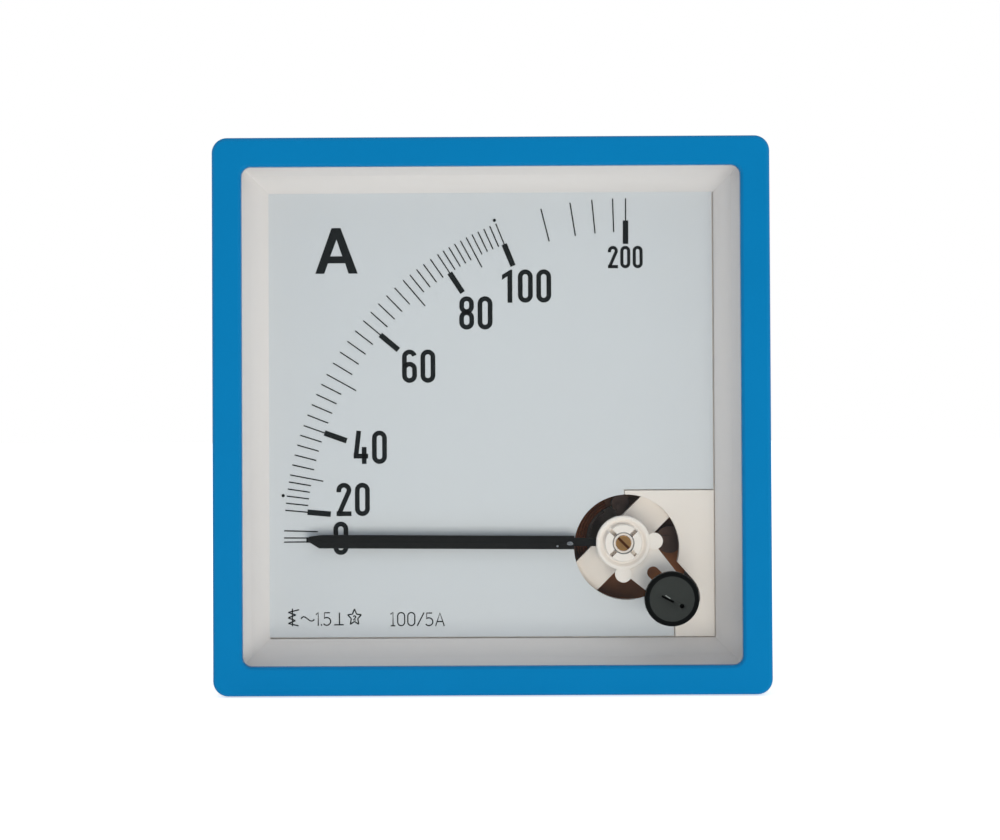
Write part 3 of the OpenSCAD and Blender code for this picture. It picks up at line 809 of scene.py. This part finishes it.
SIGNS = {
    "0": (0.61, 0.14, [(True, loop(0.3, 0.74, 0.26, 0.305))]),
    "1": (
        0.27,
        0.22,
        [(False, [(0, 0.88), (0.19, 1.02), (0.19, 0)]), (False, [(0.02, 0.03), (0.36, 0.03)])],
    ),
    "plain_1": (0.22, 0.14, [(False, [(0, 0.82), (0.17, 0.97), (0.17, 0)])]),
    "5": (
        0.56,
        0.14,
        [(False, [(0.48, 0.96), (0.08, 0.96), (0.06, 0.54)] + arc((0.24, 0.32), 0.29, 118, -145))],
    ),
    "/": (0.5, 0.12, [(False, [(0, 0.02), (0.5, 1)])]),
    "A": (
        0.7,
        0.1,
        [(False, [(0.04, 0), (0.36, 0.97), (0.68, 0)]), (False, [(0.16, 0.33), (0.56, 0.33)])],
    ),
    ".": (0.1, 0.1, [(False, [(0.05, 0), (0.05, 0.12)])]),
    "~": (
        0.98,
        0.2,
        [(False, [(0.0, 0.5), (0.07, 0.6), (0.18, 0.66), (0.31, 0.62), (0.66, 0.36), (0.8, 0.33)]
          + [(0.91, 0.38), (0.98, 0.46)])],
    ),
    "upright": (0.7, 0.3, [(False, [(0, 0.05), (0.7, 0.05)]), (False, [(0.39, 0.05), (0.39, 0.95)])]),
    "soft_iron": (
        0.8,
        0.2,
        [(False, [(0.34, 0.0), (0.34, 1.3)])]
        + segments(
            [(0.84, 1.22), (0.03, 1.02), (0.6, 0.83), (0.03, 0.62), (0.56, 0.41), (0.03, 0.2)]
            + [(0.8, 0.03)]
        ),
    ),
    "star": (
        1.0,
        0.1,
        segments(star((0.5, 0.59), 0.63, 0.3, 0.84))
        + [(False, arc((0.5, 0.62), 0.085, 170, -30, 6) + [(0.42, 0.4), (0.6, 0.4)])],
    ),
}

# Numerals on the dial: text and the middle of it from the middle of the scale, in millimetres
MAIN_NUMERALS = [
    ("0", -49.77, 0.37),
    ("20", -47.59, 7.15),
    ("40", -44.56, 16.26),
    ("60", -36.01, 30.43),
    ("80", -25.95, 39.72),
    ("100", -17.03, 44.39),
]
END_NUMERAL = ("200", 0.3, 49.39)
UNIT_PLACE = (-50.34, 50.73)
SIGN_ROW = [
    (["soft_iron"], -58.15, -13.78),
    (["~"], -55.62, -13.68),
    (["plain_1", ".", "5"], -52.85, -13.72),
    (["upright"], -50.15, -13.68),
    (["star"], -47.42, -13.68),
    (["1", "0", "0", "/", "5", "A"], -36.4, -13.85),
]


def laid_out(signs, alphabet, middle, height):
    """Strokes of a line of signs and each sign's corner; the line's middle is given from the scale's."""
    width = sum(alphabet[s][0] + alphabet[s][1] for s in signs) - alphabet[signs[-1]][1]
    x = SCALE_MIDDLE[0] + middle[0] - width * height / 2
    y = SCALE_MIDDLE[1] + middle[1] - height / 2
    strokes, corners = [], []
    for sign in signs:
        corners.append((sign, x, y))
        for closed, points in alphabet[sign][2]:
            strokes.append((closed, [(x + px * height, y + py * height) for px, py in points]))
        x += (alphabet[sign][0] + alphabet[sign][1]) * height
    return strokes, corners


def stroke_carrier(name, strokes):
    """Curve with one straight-edged spline for each stroke."""
    curve = bpy.data.curves.new(name, "CURVE")
    curve.dimensions = "3D"
    for closed, points in strokes:
        spline = curve.splines.new("POLY")
        spline.points.add(len(points) - 1)
        for point, (x, y) in zip(spline.points, points):
            point.co = (x, y, 0, 1)
        spline.use_cyclic_u = closed
    return curve


def onto_face(piece, depth):
    """Stands a piece that lies in its own plane upright, with its middle at a depth."""
    piece.data.transform(Matrix.Translation((0, depth, 0)) @ STAND_UP)
    return piece


def onto_dial(piece, film):
    """Stands flat printing up on the face of the dial."""
    return onto_face(piece, DIAL_FACE - film / 2)


def filled_outlines(name, outlines, film):
    """Flat printed shapes from closed outlines; an outline inside another is a hole."""
    curve = stroke_carrier(name, [(True, points) for points in outlines])
    curve.dimensions = "2D"
    curve.fill_mode = "BOTH"
    curve.extrude = film / 2
    return settle(put(name, curve))


# ---- Operators ----


class MeterOperator:
    """What the meter's operators share"""

    bl_options = {"REGISTER", "UNDO"}


FINISHES = {}


def shelf(context):
    """The finishes, made once and kept by name."""
    if not FINISHES:
        FINISHES.update(finishes(context.scene.meter_colours))
    return FINISHES


# Adjuster: sections as (radius, depth) in millimetres, its polished rim and neck, then its dish
HEAD_SECTION = [
    (0, -5.72), (3.2, -5.9), (3.9, -6.22), (4.2, -6.38), (4.4, -6.38), (4.62, -6.24), (4.7, -6.0),
    (4.7, -5.1), (2.5, -5.1), (2.5, -2.9), (2.8, -2.6), (2.2, -1.6), (0, -1.6),
]
DISH_SECTION = [(0, -5.78), (3.2, -5.95), (3.84, -6.24), (3.9, -6.1), (3.2, -5.8), (0, -5.6)]
PIN_START = -1.62 * MM  # depth at which the eccentric pin leaves the head
# Marks on its face: middle from the axis, length, width and slope in degrees, in millimetres
SCREW_SLOT = ((-0.7, -0.05), 2.3, 0.36, -27)
# The second mark is a pale strip of painted glint on the slot's upper edge, standing a little proud of
# the dish
WORN_EDGE = ((-0.7, 0.32), 1.0, 0.18, -33)
PIT = ((1.72, -1.24), 0.4)  # middle from the axis, radius
# Depths from and to which each mark is cut or raised
SLOT_DEPTHS = (-6.5 * MM, -5.35 * MM)
PIT_DEPTHS = (-6.5 * MM, -5.3 * MM)
BURR_DEPTHS = (-5.86 * MM, -5.7 * MM)


class PANELMETER_OT_front(MeterOperator, bpy.types.Operator):
    """Finish the bezel, mask and zero adjuster"""

    bl_idname = "panel_meter.front"
    bl_label = "Front"

    def execute(self, context):
        detail = context.scene.meter_detail
        stock = shelf(context)
        show(rounded("bezel", detail.edge), "root", "bezel_blue", stock["bezel_blue"], "bezel")
        # The mitres between the mask's slopes stay crisp, only its square edges are rounded
        mask = rounded("mask", detail.small_edge, angle=75)
        show(mask, "root", "mask_white", stock["mask_white"], "mask")
        self.adjuster(stock)
        return {"FINISHED"}

    def adjuster(self, stock):
        """Adjuster with a polished rim, a matt dish, a fine slot, a pale painted glint along the slot's
        edge and a pit beside its end
        """
        head = turned("zero_adjuster_body", HEAD_SECTION, ADJUSTER)
        pin = self.pin()
        dish = turned("zero_adjuster_dish", DISH_SECTION, ADJUSTER)
        slot = self.mark(*SCREW_SLOT)
        worn_edge = self.mark(*WORN_EDGE)
        place, radius = PIT
        pit = circle(Vector(ADJUSTER) + Vector(place) * MM, radius * MM, 24)
        for piece, material in ((head, "adjuster_black"), (dish, "adjuster_dish")):
            piece = cut(piece, prism("slot_cutter", [slot], *SLOT_DEPTHS))
            piece = cut(piece, prism("pit_cutter", [pit], *PIT_DEPTHS))
            show(piece, "adjuster", "adjuster_black", stock[material], "zero_adjuster")
        # Pale strip along the slot's edge: painted glint
        burr = prism("zero_adjuster_painted_glint", [worn_edge], *BURR_DEPTHS)
        show(burr, "adjuster", "adjuster_black", stock["adjuster_painted_glint"], "zero_adjuster")
        show(pin, "adjuster", "adjuster_black", stock["adjuster_black"], "zero_adjuster")

    def mark(self, place, length, width, slope):
        """Outline of a narrow mark on the adjuster's face"""
        return bar(Vector(ADJUSTER) + Vector(place) * MM, length * MM, width * MM, slope)

    def pin(self):
        """Eccentric pin, cut from the back of the plain adjuster"""
        pin = merged("zero_adjuster", "zero_adjuster_pin")
        shape = bmesh.new()
        shape.from_mesh(pin.data)
        everything = shape.verts[:] + shape.edges[:] + shape.faces[:]
        bmesh.ops.bisect_plane(
            shape, geom=everything, plane_co=(0, PIN_START, 0), plane_no=(0, 1, 0), clear_inner=True
        )
        bmesh.ops.holes_fill(shape, edges=shape.edges)
        shape.to_mesh(pin.data)
        shape.free()
        close(pin.data)
        return pin


class PANELMETER_OT_case(MeterOperator, bpy.types.Operator):
    """Finish the case with rounded edges and a moulded grain"""

    bl_idname = "panel_meter.case"
    bl_label = "Case"

    def execute(self, context):
        detail = context.scene.meter_detail
        show(rounded("case", detail.edge), "root", "case_black", shelf(context)["case_black"], "case")
        return {"FINISHED"}


class PANELMETER_OT_dial(MeterOperator, bpy.types.Operator):
    """Print the numerals, the unit and the row of instrument signs on the dial"""

    bl_idname = "panel_meter.dial"
    bl_label = "Dial and lettering"

    def execute(self, context):
        lettering = context.scene.meter_lettering
        stock = shelf(context)
        ink = stock["scale_ink"]

        tree, known = stroke_tree()
        outlines = []
        sizes = [
            ("main_numerals", MAIN_NUMERALS, lettering.numeral_height),
            ("end_numeral", [END_NUMERAL], lettering.end_height),
        ]
        for name, words, height in sizes:
            strokes = []
            for word, x, y in words:
                drawn, corners = laid_out(word, NUMERALS, (x * MM, y * MM), height)
                strokes += drawn
                outlines += [
                    [(cx + px * height, cy + py * height) for px, py in FLAG_ONE]
                    for sign, cx, cy in corners
                    if sign == "1"
                ]
            values = {"Stroke": STROKE * height, "Film": lettering.film, "Material": ink}
            piece = grown(name, stroke_carrier(name, strokes), tree, known, values)
            show(onto_dial(piece, lettering.film), "root", "scale_ink", ink)

        height = lettering.unit_height
        width = max(x for x, _ in UNIT_OUTLINE) * height
        left = SCALE_MIDDLE[0] + UNIT_PLACE[0] * MM - width / 2
        low = SCALE_MIDDLE[1] + UNIT_PLACE[1] * MM - height / 2
        for outline in (UNIT_OUTLINE, UNIT_HOLE):
            outlines.append([(left + px * height, low + py * height) for px, py in outline])
        letters = filled_outlines("unit_and_flags", outlines, lettering.film)
        show(onto_dial(letters, lettering.film), "root", "scale_ink", ink)

        strokes = []
        for signs, x, y in SIGN_ROW:
            strokes += laid_out(signs, SIGNS, (x * MM, y * MM), lettering.sign_height)[0]
        values = {"Stroke": lettering.sign_stroke, "Film": lettering.film, "Material": ink}
        name = "instrument_signs"
        piece = grown(name, stroke_carrier(name, strokes), tree, known, values)
        show(onto_dial(piece, lettering.film), "root", "scale_ink", ink)
        return {"FINISHED"}


# Clip round the bearing bush, as (radius, depth) in millimetres
CLIP_SECTION = [(1.73, -0.9), (1.76, -0.98), (1.86, -0.98), (1.9, -0.9), (1.73, -0.9)]
FORK_END = (31.5 * MM, -32.1 * MM)  # as far as the lever's fork reaches
CHANNEL_HALF = 4.8 * MM  # half the width of its channel
BOSS_RADIUS = 2.1 * MM  # boss round the pillar that stays in the channel
BOSS_DEPTHS = (0, 12 * MM)


class PANELMETER_OT_movement(MeterOperator, bpy.types.Operator):
    """Finish the carrier, bridge, lever and bearings behind the round opening"""

    bl_idname = "panel_meter.movement"
    bl_label = "Movement and plain nodes"

    def execute(self, context):
        edge = context.scene.meter_detail.small_edge
        stock = shelf(context)
        for part in frame["record"]["subparts"]:
            paint(part["node"], stock[part["material_slot"]])
        paint("front_bearing_screw", stock["screw_brass"])
        clip = turned("collet_clip", CLIP_SECTION, PIVOT)
        show(clip, "root", "steel_plated", stock["steel_plated"], "bearing_bush")
        bush = rounded("bearing_bush", edge)
        show(bush, "root", "moulding_white", stock["moulding_white"], "bearing_bush")
        # The balance arm and weights are painted brown-black: painted shade of the dark inside of the
        # movement
        for node in ("balance_arm", "balance_weights"):
            paint(node, stock["brass_painted_shade"])
        moulding = stock["moulding_white"]
        show(rounded("bridge", edge), "root", "moulding_white", moulding, "bridge")
        show(rounded("zero_lever", edge), "lever", "moulding_white", moulding, "zero_lever")
        carrier = rounded("carrier", edge, cutter=self.lever_channel())
        show(carrier, "root", "moulding_white", moulding, "carrier")
        return {"FINISHED"}

    def lever_channel(self):
        """Cutter for the channel in the carrier in which the lever's fork reaches the adjuster's pin"""
        way = Vector(FORK_END) - Vector(PIVOT)
        heading = math.degrees(math.atan2(way.y, way.x))
        outline = arc(Vector(FORK_END), CHANNEL_HALF, heading - 90, heading + 90, 24)
        outline += arc(Vector(PIVOT), CHANNEL_HALF, heading + 90, heading + 270)
        low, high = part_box("carrier")
        channel = prism("channel_cutter", [outline], low[1] - MM, high[1] + 3 * MM)
        boss = circle(PILLAR, BOSS_RADIUS, 36)
        return cut(channel, prism("boss_keeper", [boss], *BOSS_DEPTHS))


# Pointer stations in millimetres: distance from the axis, then lower edge, ridge and upper edge
STATIONS = [
    (8.4, -1.2, -0.1, 1.16),
    (52.2, -1.2, -0.1, 1.16),
    (52.9, -1.2, 0.05, 1.1),
    (54.6, -0.16, 0.34, 0.84),
    (54.7, -0.1, 0.36, 0.8),
]
CHAMFER = 0.5 * MM  # the lower edge lies this much behind the ridge
CROWN = 0.05 * MM  # and the upper edge this much
FOLD = 0.06 * MM  # rounding of the sheet's folds
POINTER_DROP = 0.1 * MM  # the blade's middle line passes this much below the axis
# Crimped lugs in millimetres: distance from the axis, place across the blade, half length
LUGS = [(9.15, -0.12, 0.62), (11.35, -0.62, 0.2)]


class PANELMETER_OT_pointer(MeterOperator, bpy.types.Operator):
    """Finish the pointer"""

    bl_idname = "panel_meter.pointer"
    bl_label = "Pointer"

    def execute(self, context):
        stock = shelf(context)
        black = stock["pointer_black"]
        show(self.channel(), "moving_system", "pointer_black", black, "pointer")
        for lug in LUGS:
            end = self.lug(*lug)
            show(end, "moving_system", "steel_plated", stock["steel_plated"], "pointer")
        return {"FINISHED"}

    def placed(self, mesh, name):
        """Puts a mesh drawn along X from the axis where the pointer rests"""
        mesh.transform(
            Matrix.Translation((PIVOT[0], 0, PIVOT[1] - POINTER_DROP))
            @ Matrix.Rotation(math.radians(180 + POINTER_REST), 4, "Y")
            @ Matrix.Diagonal((1, 1, -1, 1))
        )
        close(mesh)
        return put(name, mesh)

    def channel(self):
        """Folded sheet channel with a flat ridge, tapered to the tip from its lower edge"""
        front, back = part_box("pointer")[0][1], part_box("pointer")[1][1]
        chamfer = front + CHAMFER
        crown = front + CROWN
        shape = bmesh.new()
        rows = []
        for x, low, ridge, high in STATIONS:
            section = [(low, back), (low, chamfer), (ridge, front), (high, crown), (high, back)]
            rows.append([shape.verts.new((x * MM, y, z * MM)) for z, y in section])
        for first, second in zip(rows, rows[1:]):
            for i in range(4):
                shape.faces.new((first[i], second[i], second[i + 1], first[i + 1]))
            shape.faces.new((first[4], second[4], second[0], first[0]))
        shape.faces.new(rows[0])
        shape.faces.new(rows[-1])
        mesh = bpy.data.meshes.new("pointer_blade")
        shape.to_mesh(mesh)
        shape.free()
        return bevel(self.placed(mesh, "pointer_blade"), FOLD, 40)

    def lug(self, place, across, length):
        """Bright end of a lug of the arm, crimped over the front of the pointer"""
        shape = bmesh.new()
        bmesh.ops.create_uvsphere(shape, u_segments=20, v_segments=12, radius=1)
        mesh = bpy.data.meshes.new("pointer_lug")
        shape.to_mesh(mesh)
        shape.free()
        mesh.shade_smooth()
        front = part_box("pointer")[0][1]
        # It stands 0.06 mm proud of the ridge
        mesh.transform(
            Matrix.Translation((place * MM, front + 0.1 * MM, across * MM))
            @ Matrix.Diagonal((length * MM, 0.16 * MM, 0.42 * length * MM + 0.1 * MM, 1))
        )
        return self.placed(mesh, f"pointer_lug_{round(place)}")


# Start lead: four strands side by side on an arc round the mouth of the bobbin
LEAD_STRANDS = 4
LEAD_RADIUS = 6.2 * MM  # innermost strand
LEAD_STEP = 0.5 * MM  # from strand to strand
LEAD_TURN = 0.3  # share of a full turn
LEAD_START = -112  # degrees


class PANELMETER_OT_coil(MeterOperator, bpy.types.Operator):
    """Wind the outer layer of wire on the coil"""

    bl_idname = "panel_meter.coil"
    bl_label = "Coil"

    def execute(self, context):
        detail = context.scene.meter_detail
        stock = shelf(context)
        copper = stock["copper_enamelled"]
        low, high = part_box("coil_winding")
        radius = (high[0] - low[0]) / 2
        rise = high[1] - low[1] - detail.wire
        half = detail.wire / 2
        helix = helix_tree()
        turns = float(detail.turns)
        piece = wound("winding_turns", helix, radius, turns, rise, half, copper, steps=36, sides=8)
        middle = ((low[0] + high[0]) / 2, low[1] + half, (low[2] + high[2]) / 2)
        piece.data.transform(Matrix.Translation(middle) @ LAY_DOWN)
        piece.data.shade_smooth()
        show(piece, "root", "copper_enamelled", copper)

        # Start of the winding, led round the mouth of the bobbin on its front flange
        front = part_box("coil_bobbin")[0][1]
        spin = Matrix.Rotation(math.radians(LEAD_START), 4, "Y")
        place = Matrix.Translation((PIVOT[0], front - half, PIVOT[1]))
        for strand in range(LEAD_STRANDS):
            name = f"start_lead_{strand + 1}"
            radius = LEAD_RADIUS + LEAD_STEP * strand
            piece = wound(name, helix, radius, LEAD_TURN, 0.0, half, copper, steps=90, sides=10)
            piece.data.transform(place @ spin @ LAY_DOWN)
            piece.data.shade_smooth()
            show(piece, "root", "copper_enamelled", copper)
        return {"FINISHED"}


# Thread: depth and section as shares of its pitch
THREAD_DEPTH = 0.6134
THREAD_SECTION = 0.54  # radius of the three-sided ridge
POINT = 0.4 * MM  # plain end of a stud past its thread


class PANELMETER_OT_terminals(MeterOperator, bpy.types.Operator):
    """Cut the threads of the terminal studs and finish their nuts"""

    bl_idname = "panel_meter.terminals"
    bl_label = "Terminals"

    def execute(self, context):
        detail = context.scene.meter_detail
        stock = shelf(context)
        brass = stock["brass"]
        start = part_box("flat_washers")[0][1]
        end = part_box("stud_left")[1][1] - POINT
        section = THREAD_SECTION * detail.thread_pitch
        turns = (end - start) / detail.thread_pitch
        helix = helix_tree()
        for node in ("stud_left", "stud_right"):
            low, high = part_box(node)
            axis = Vector(((low[0] + high[0]) / 2, 0, (low[2] + high[2]) / 2))
            core = merged(node, node + "_core")
            shank = [vertex for vertex in core.data.vertices if vertex.co.y > start]
            crest = max(math.hypot(v.co.x - axis.x, v.co.z - axis.z) for v in shank)
            root = crest - THREAD_DEPTH * detail.thread_pitch
            for vertex in shank:
                arm = Vector((vertex.co.x - axis.x, 0, vertex.co.z - axis.z))
                if arm.length > root:
                    arm *= root / arm.length
                    vertex.co.x = axis.x + arm.x
                    vertex.co.z = axis.z + arm.z
            smooth(core, 30)
            name = node + "_thread"
            radius = crest - section
            ridge = wound(name, helix, radius, turns, end - start, section, brass, steps=32, sides=3)
            ridge.data.transform(Matrix.Translation((axis.x, start, axis.z)) @ LAY_DOWN)
            show(core, "root", "brass", brass, node)
            show(ridge, "root", "brass", brass)
        for node in ("fixing_nuts", "clamp_nuts"):
            show(rounded(node, detail.small_edge), "root", "brass", brass, node)
        return {"FINISHED"}


FLOOR_REACH = 2.5  # metres from the middle to each side
FLOOR_LIFT = 0.66  # glow of the table top, for the eye only
DIM_SHARE = 0.2  # share of the room's light that comes from ahead
DIM_FROM, DIM_TO = 0.7, 0.95  # cosines from the way ahead between which the room dims
KEY_PLACE = (0.2, -0.72, -0.28)
CAMERA_PLACE = (0.872 * MM, -431.916 * MM, 2.833 * MM)
CAMERA_TURN = (90.9904, 0.2782, 0.3079)  # degrees
CAMERA_LENS = 89.53  # focal length in millimetres on a 36 mm sensor
CAMERA_SHIFT = (0.0168, -0.064)


class PANELMETER_OT_stage(MeterOperator, bpy.types.Operator):
    """Set up the floor, the soft light and the camera"""

    bl_idname = "panel_meter.stage"
    bl_label = "Stage"

    def execute(self, context):
        scene = context.scene
        stage = scene.meter_stage
        scene.view_settings.view_transform = "Standard"

        world = bpy.data.worlds.new("pale_room")
        world.use_nodes = True
        tree = world.node_tree
        tree.nodes.clear()
        ray = add(tree, "ShaderNodeLightPath")
        seen = add(tree, "ShaderNodeBackground", {"Color": linear("#ffffff"), "Strength": 1.0})
        way = add(tree, "ShaderNodeTexCoord").outputs["Generated"]
        ahead = add(tree, "ShaderNodeVectorMath", {0: way, 1: (0, -1, 0)}, operation="DOT_PRODUCT")
        # The side that the dial faces is dimmer, so the window mirrors little and metal has contrast
        dim = add(
            tree,
            "ShaderNodeMapRange",
            {
                "Value": ahead.outputs["Value"],
                "From Min": DIM_FROM,
                "From Max": DIM_TO,
                "To Min": stage.ambient,
                "To Max": DIM_SHARE * stage.ambient,
            },
            interpolation_type="SMOOTHSTEP",
        )
        felt = add(
            tree, "ShaderNodeBackground", {"Color": linear("#f3f9ff"), "Strength": dim.outputs["Result"]}
        )
        both = add(
            tree,
            "ShaderNodeMixShader",
            {0: ray.outputs["Is Camera Ray"], 1: felt.outputs[0], 2: seen.outputs[0]},
        )
        add(tree, "ShaderNodeOutputWorld", {"Surface": both.outputs[0]})
        scene.world = world

        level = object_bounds()[0][2]
        mesh = bpy.data.meshes.new("floor")
        corners = [(FLOOR_REACH * x, FLOOR_REACH * y, level) for x, y in SQUARE]
        mesh.from_pydata(corners, [], [(0, 1, 2, 3)])
        floor = bpy.data.objects.new("floor", mesh)
        scene.collection.objects.link(floor)
        floor.visible_shadow = False
        floor.visible_glossy = False
        floor.visible_transmission = False
        mesh.materials.append(self.floor_material())
        floor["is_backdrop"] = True

        light = bpy.data.lights.new("key", "AREA")
        light.energy = stage.key_power
        light.size = stage.key_size
        light.color = linear("#fffaf0")[:3]
        key = bpy.data.objects.new("key", light)
        scene.collection.objects.link(key)
        key.location = Vector(KEY_PLACE)
        key.rotation_euler = Vector(KEY_PLACE).to_track_quat("Z", "Y").to_euler()
        key.visible_glossy = False
        key.visible_transmission = False

        camera = bpy.data.cameras.new("camera")
        camera.sensor_width = 36
        camera.lens = CAMERA_LENS
        camera.shift_x, camera.shift_y = CAMERA_SHIFT
        camera.clip_start, camera.clip_end = 0.01, 20
        holder = bpy.data.objects.new("camera", camera)
        scene.collection.objects.link(holder)
        holder.location = CAMERA_PLACE
        holder.rotation_euler = [math.radians(angle) for angle in CAMERA_TURN]
        scene.camera = holder
        return {"FINISHED"}

    def floor_material(self):
        """Pale matt table top that reads as plain white paper"""
        material, tree = new_material("table_top_matt_white", linear("#f5f5f5"))
        place = add(tree, "ShaderNodeTexCoord").outputs["Object"]
        fibres = {"Vector": place, "Scale": 1 / (1.5 * MM), "Detail": 3.0}
        fibre = add(tree, "ShaderNodeTexNoise", fibres)
        bump = add(tree, "ShaderNodeBump", {"Height": fibre.outputs["Fac"], "Distance": 0.02 * MM})
        paper = add(
            tree,
            "ShaderNodeBsdfPrincipled",
            {
                "Base Color": linear("#f5f5f5"),
                "Roughness": 0.9,
                "Specular IOR Level": 0.1,
                "Normal": bump.outputs["Normal"],
            },
        )
        ray = add(tree, "ShaderNodeLightPath")
        lift = add(
            tree,
            "ShaderNodeMath",
            {0: ray.outputs["Is Camera Ray"], 1: FLOOR_LIFT},
            operation="MULTIPLY",
        )
        glow = add(tree, "ShaderNodeEmission", {"Strength": lift.outputs[0]})
        both = add(tree, "ShaderNodeAddShader", {0: paper.outputs[0], 1: glow.outputs[0]})
        add(tree, "ShaderNodeOutputMaterial", {"Surface": both.outputs[0]})
        return material


OPERATORS = [
    PANELMETER_OT_stage,
    PANELMETER_OT_front,
    PANELMETER_OT_case,
    PANELMETER_OT_dial,
    PANELMETER_OT_movement,
    PANELMETER_OT_pointer,
    PANELMETER_OT_coil,
    PANELMETER_OT_terminals,
]


class PANELMETER_PT_sidebar(bpy.types.Panel):
    """Sidebar panel with the meter's steps and sizes"""

    bl_idname = "PANELMETER_PT_sidebar"
    bl_label = "Panel meter"
    bl_space_type = "VIEW_3D"
    bl_region_type = "UI"
    bl_category = "Panel meter"

    def draw(self, context):
        for kind in OPERATORS:
            self.layout.operator(kind.bl_idname)
        for name, group in GROUPS.items():
            box = self.layout.box()
            for field in group.__annotations__:
                box.prop(getattr(context.scene, name), field)


def register():
    """Registers the properties, operators and panel."""
    for kind in [*GROUPS.values(), *OPERATORS, PANELMETER_PT_sidebar]:
        bpy.utils.register_class(kind)
    for name, group in GROUPS.items():
        setattr(bpy.types.Scene, name, bpy.props.PointerProperty(type=group))


def unregister():
    """Removes what register added."""
    for name in GROUPS:
        delattr(bpy.types.Scene, name)
    for kind in [PANELMETER_PT_sidebar, *OPERATORS, *GROUPS.values()]:
        bpy.utils.unregister_class(kind)


def main():
    """Builds the whole scene."""
    register()
    for kind in OPERATORS:
        group, name = kind.bl_idname.split(".")
        getattr(getattr(bpy.ops, group), name)()


if __name__ == "__main__":
    main()
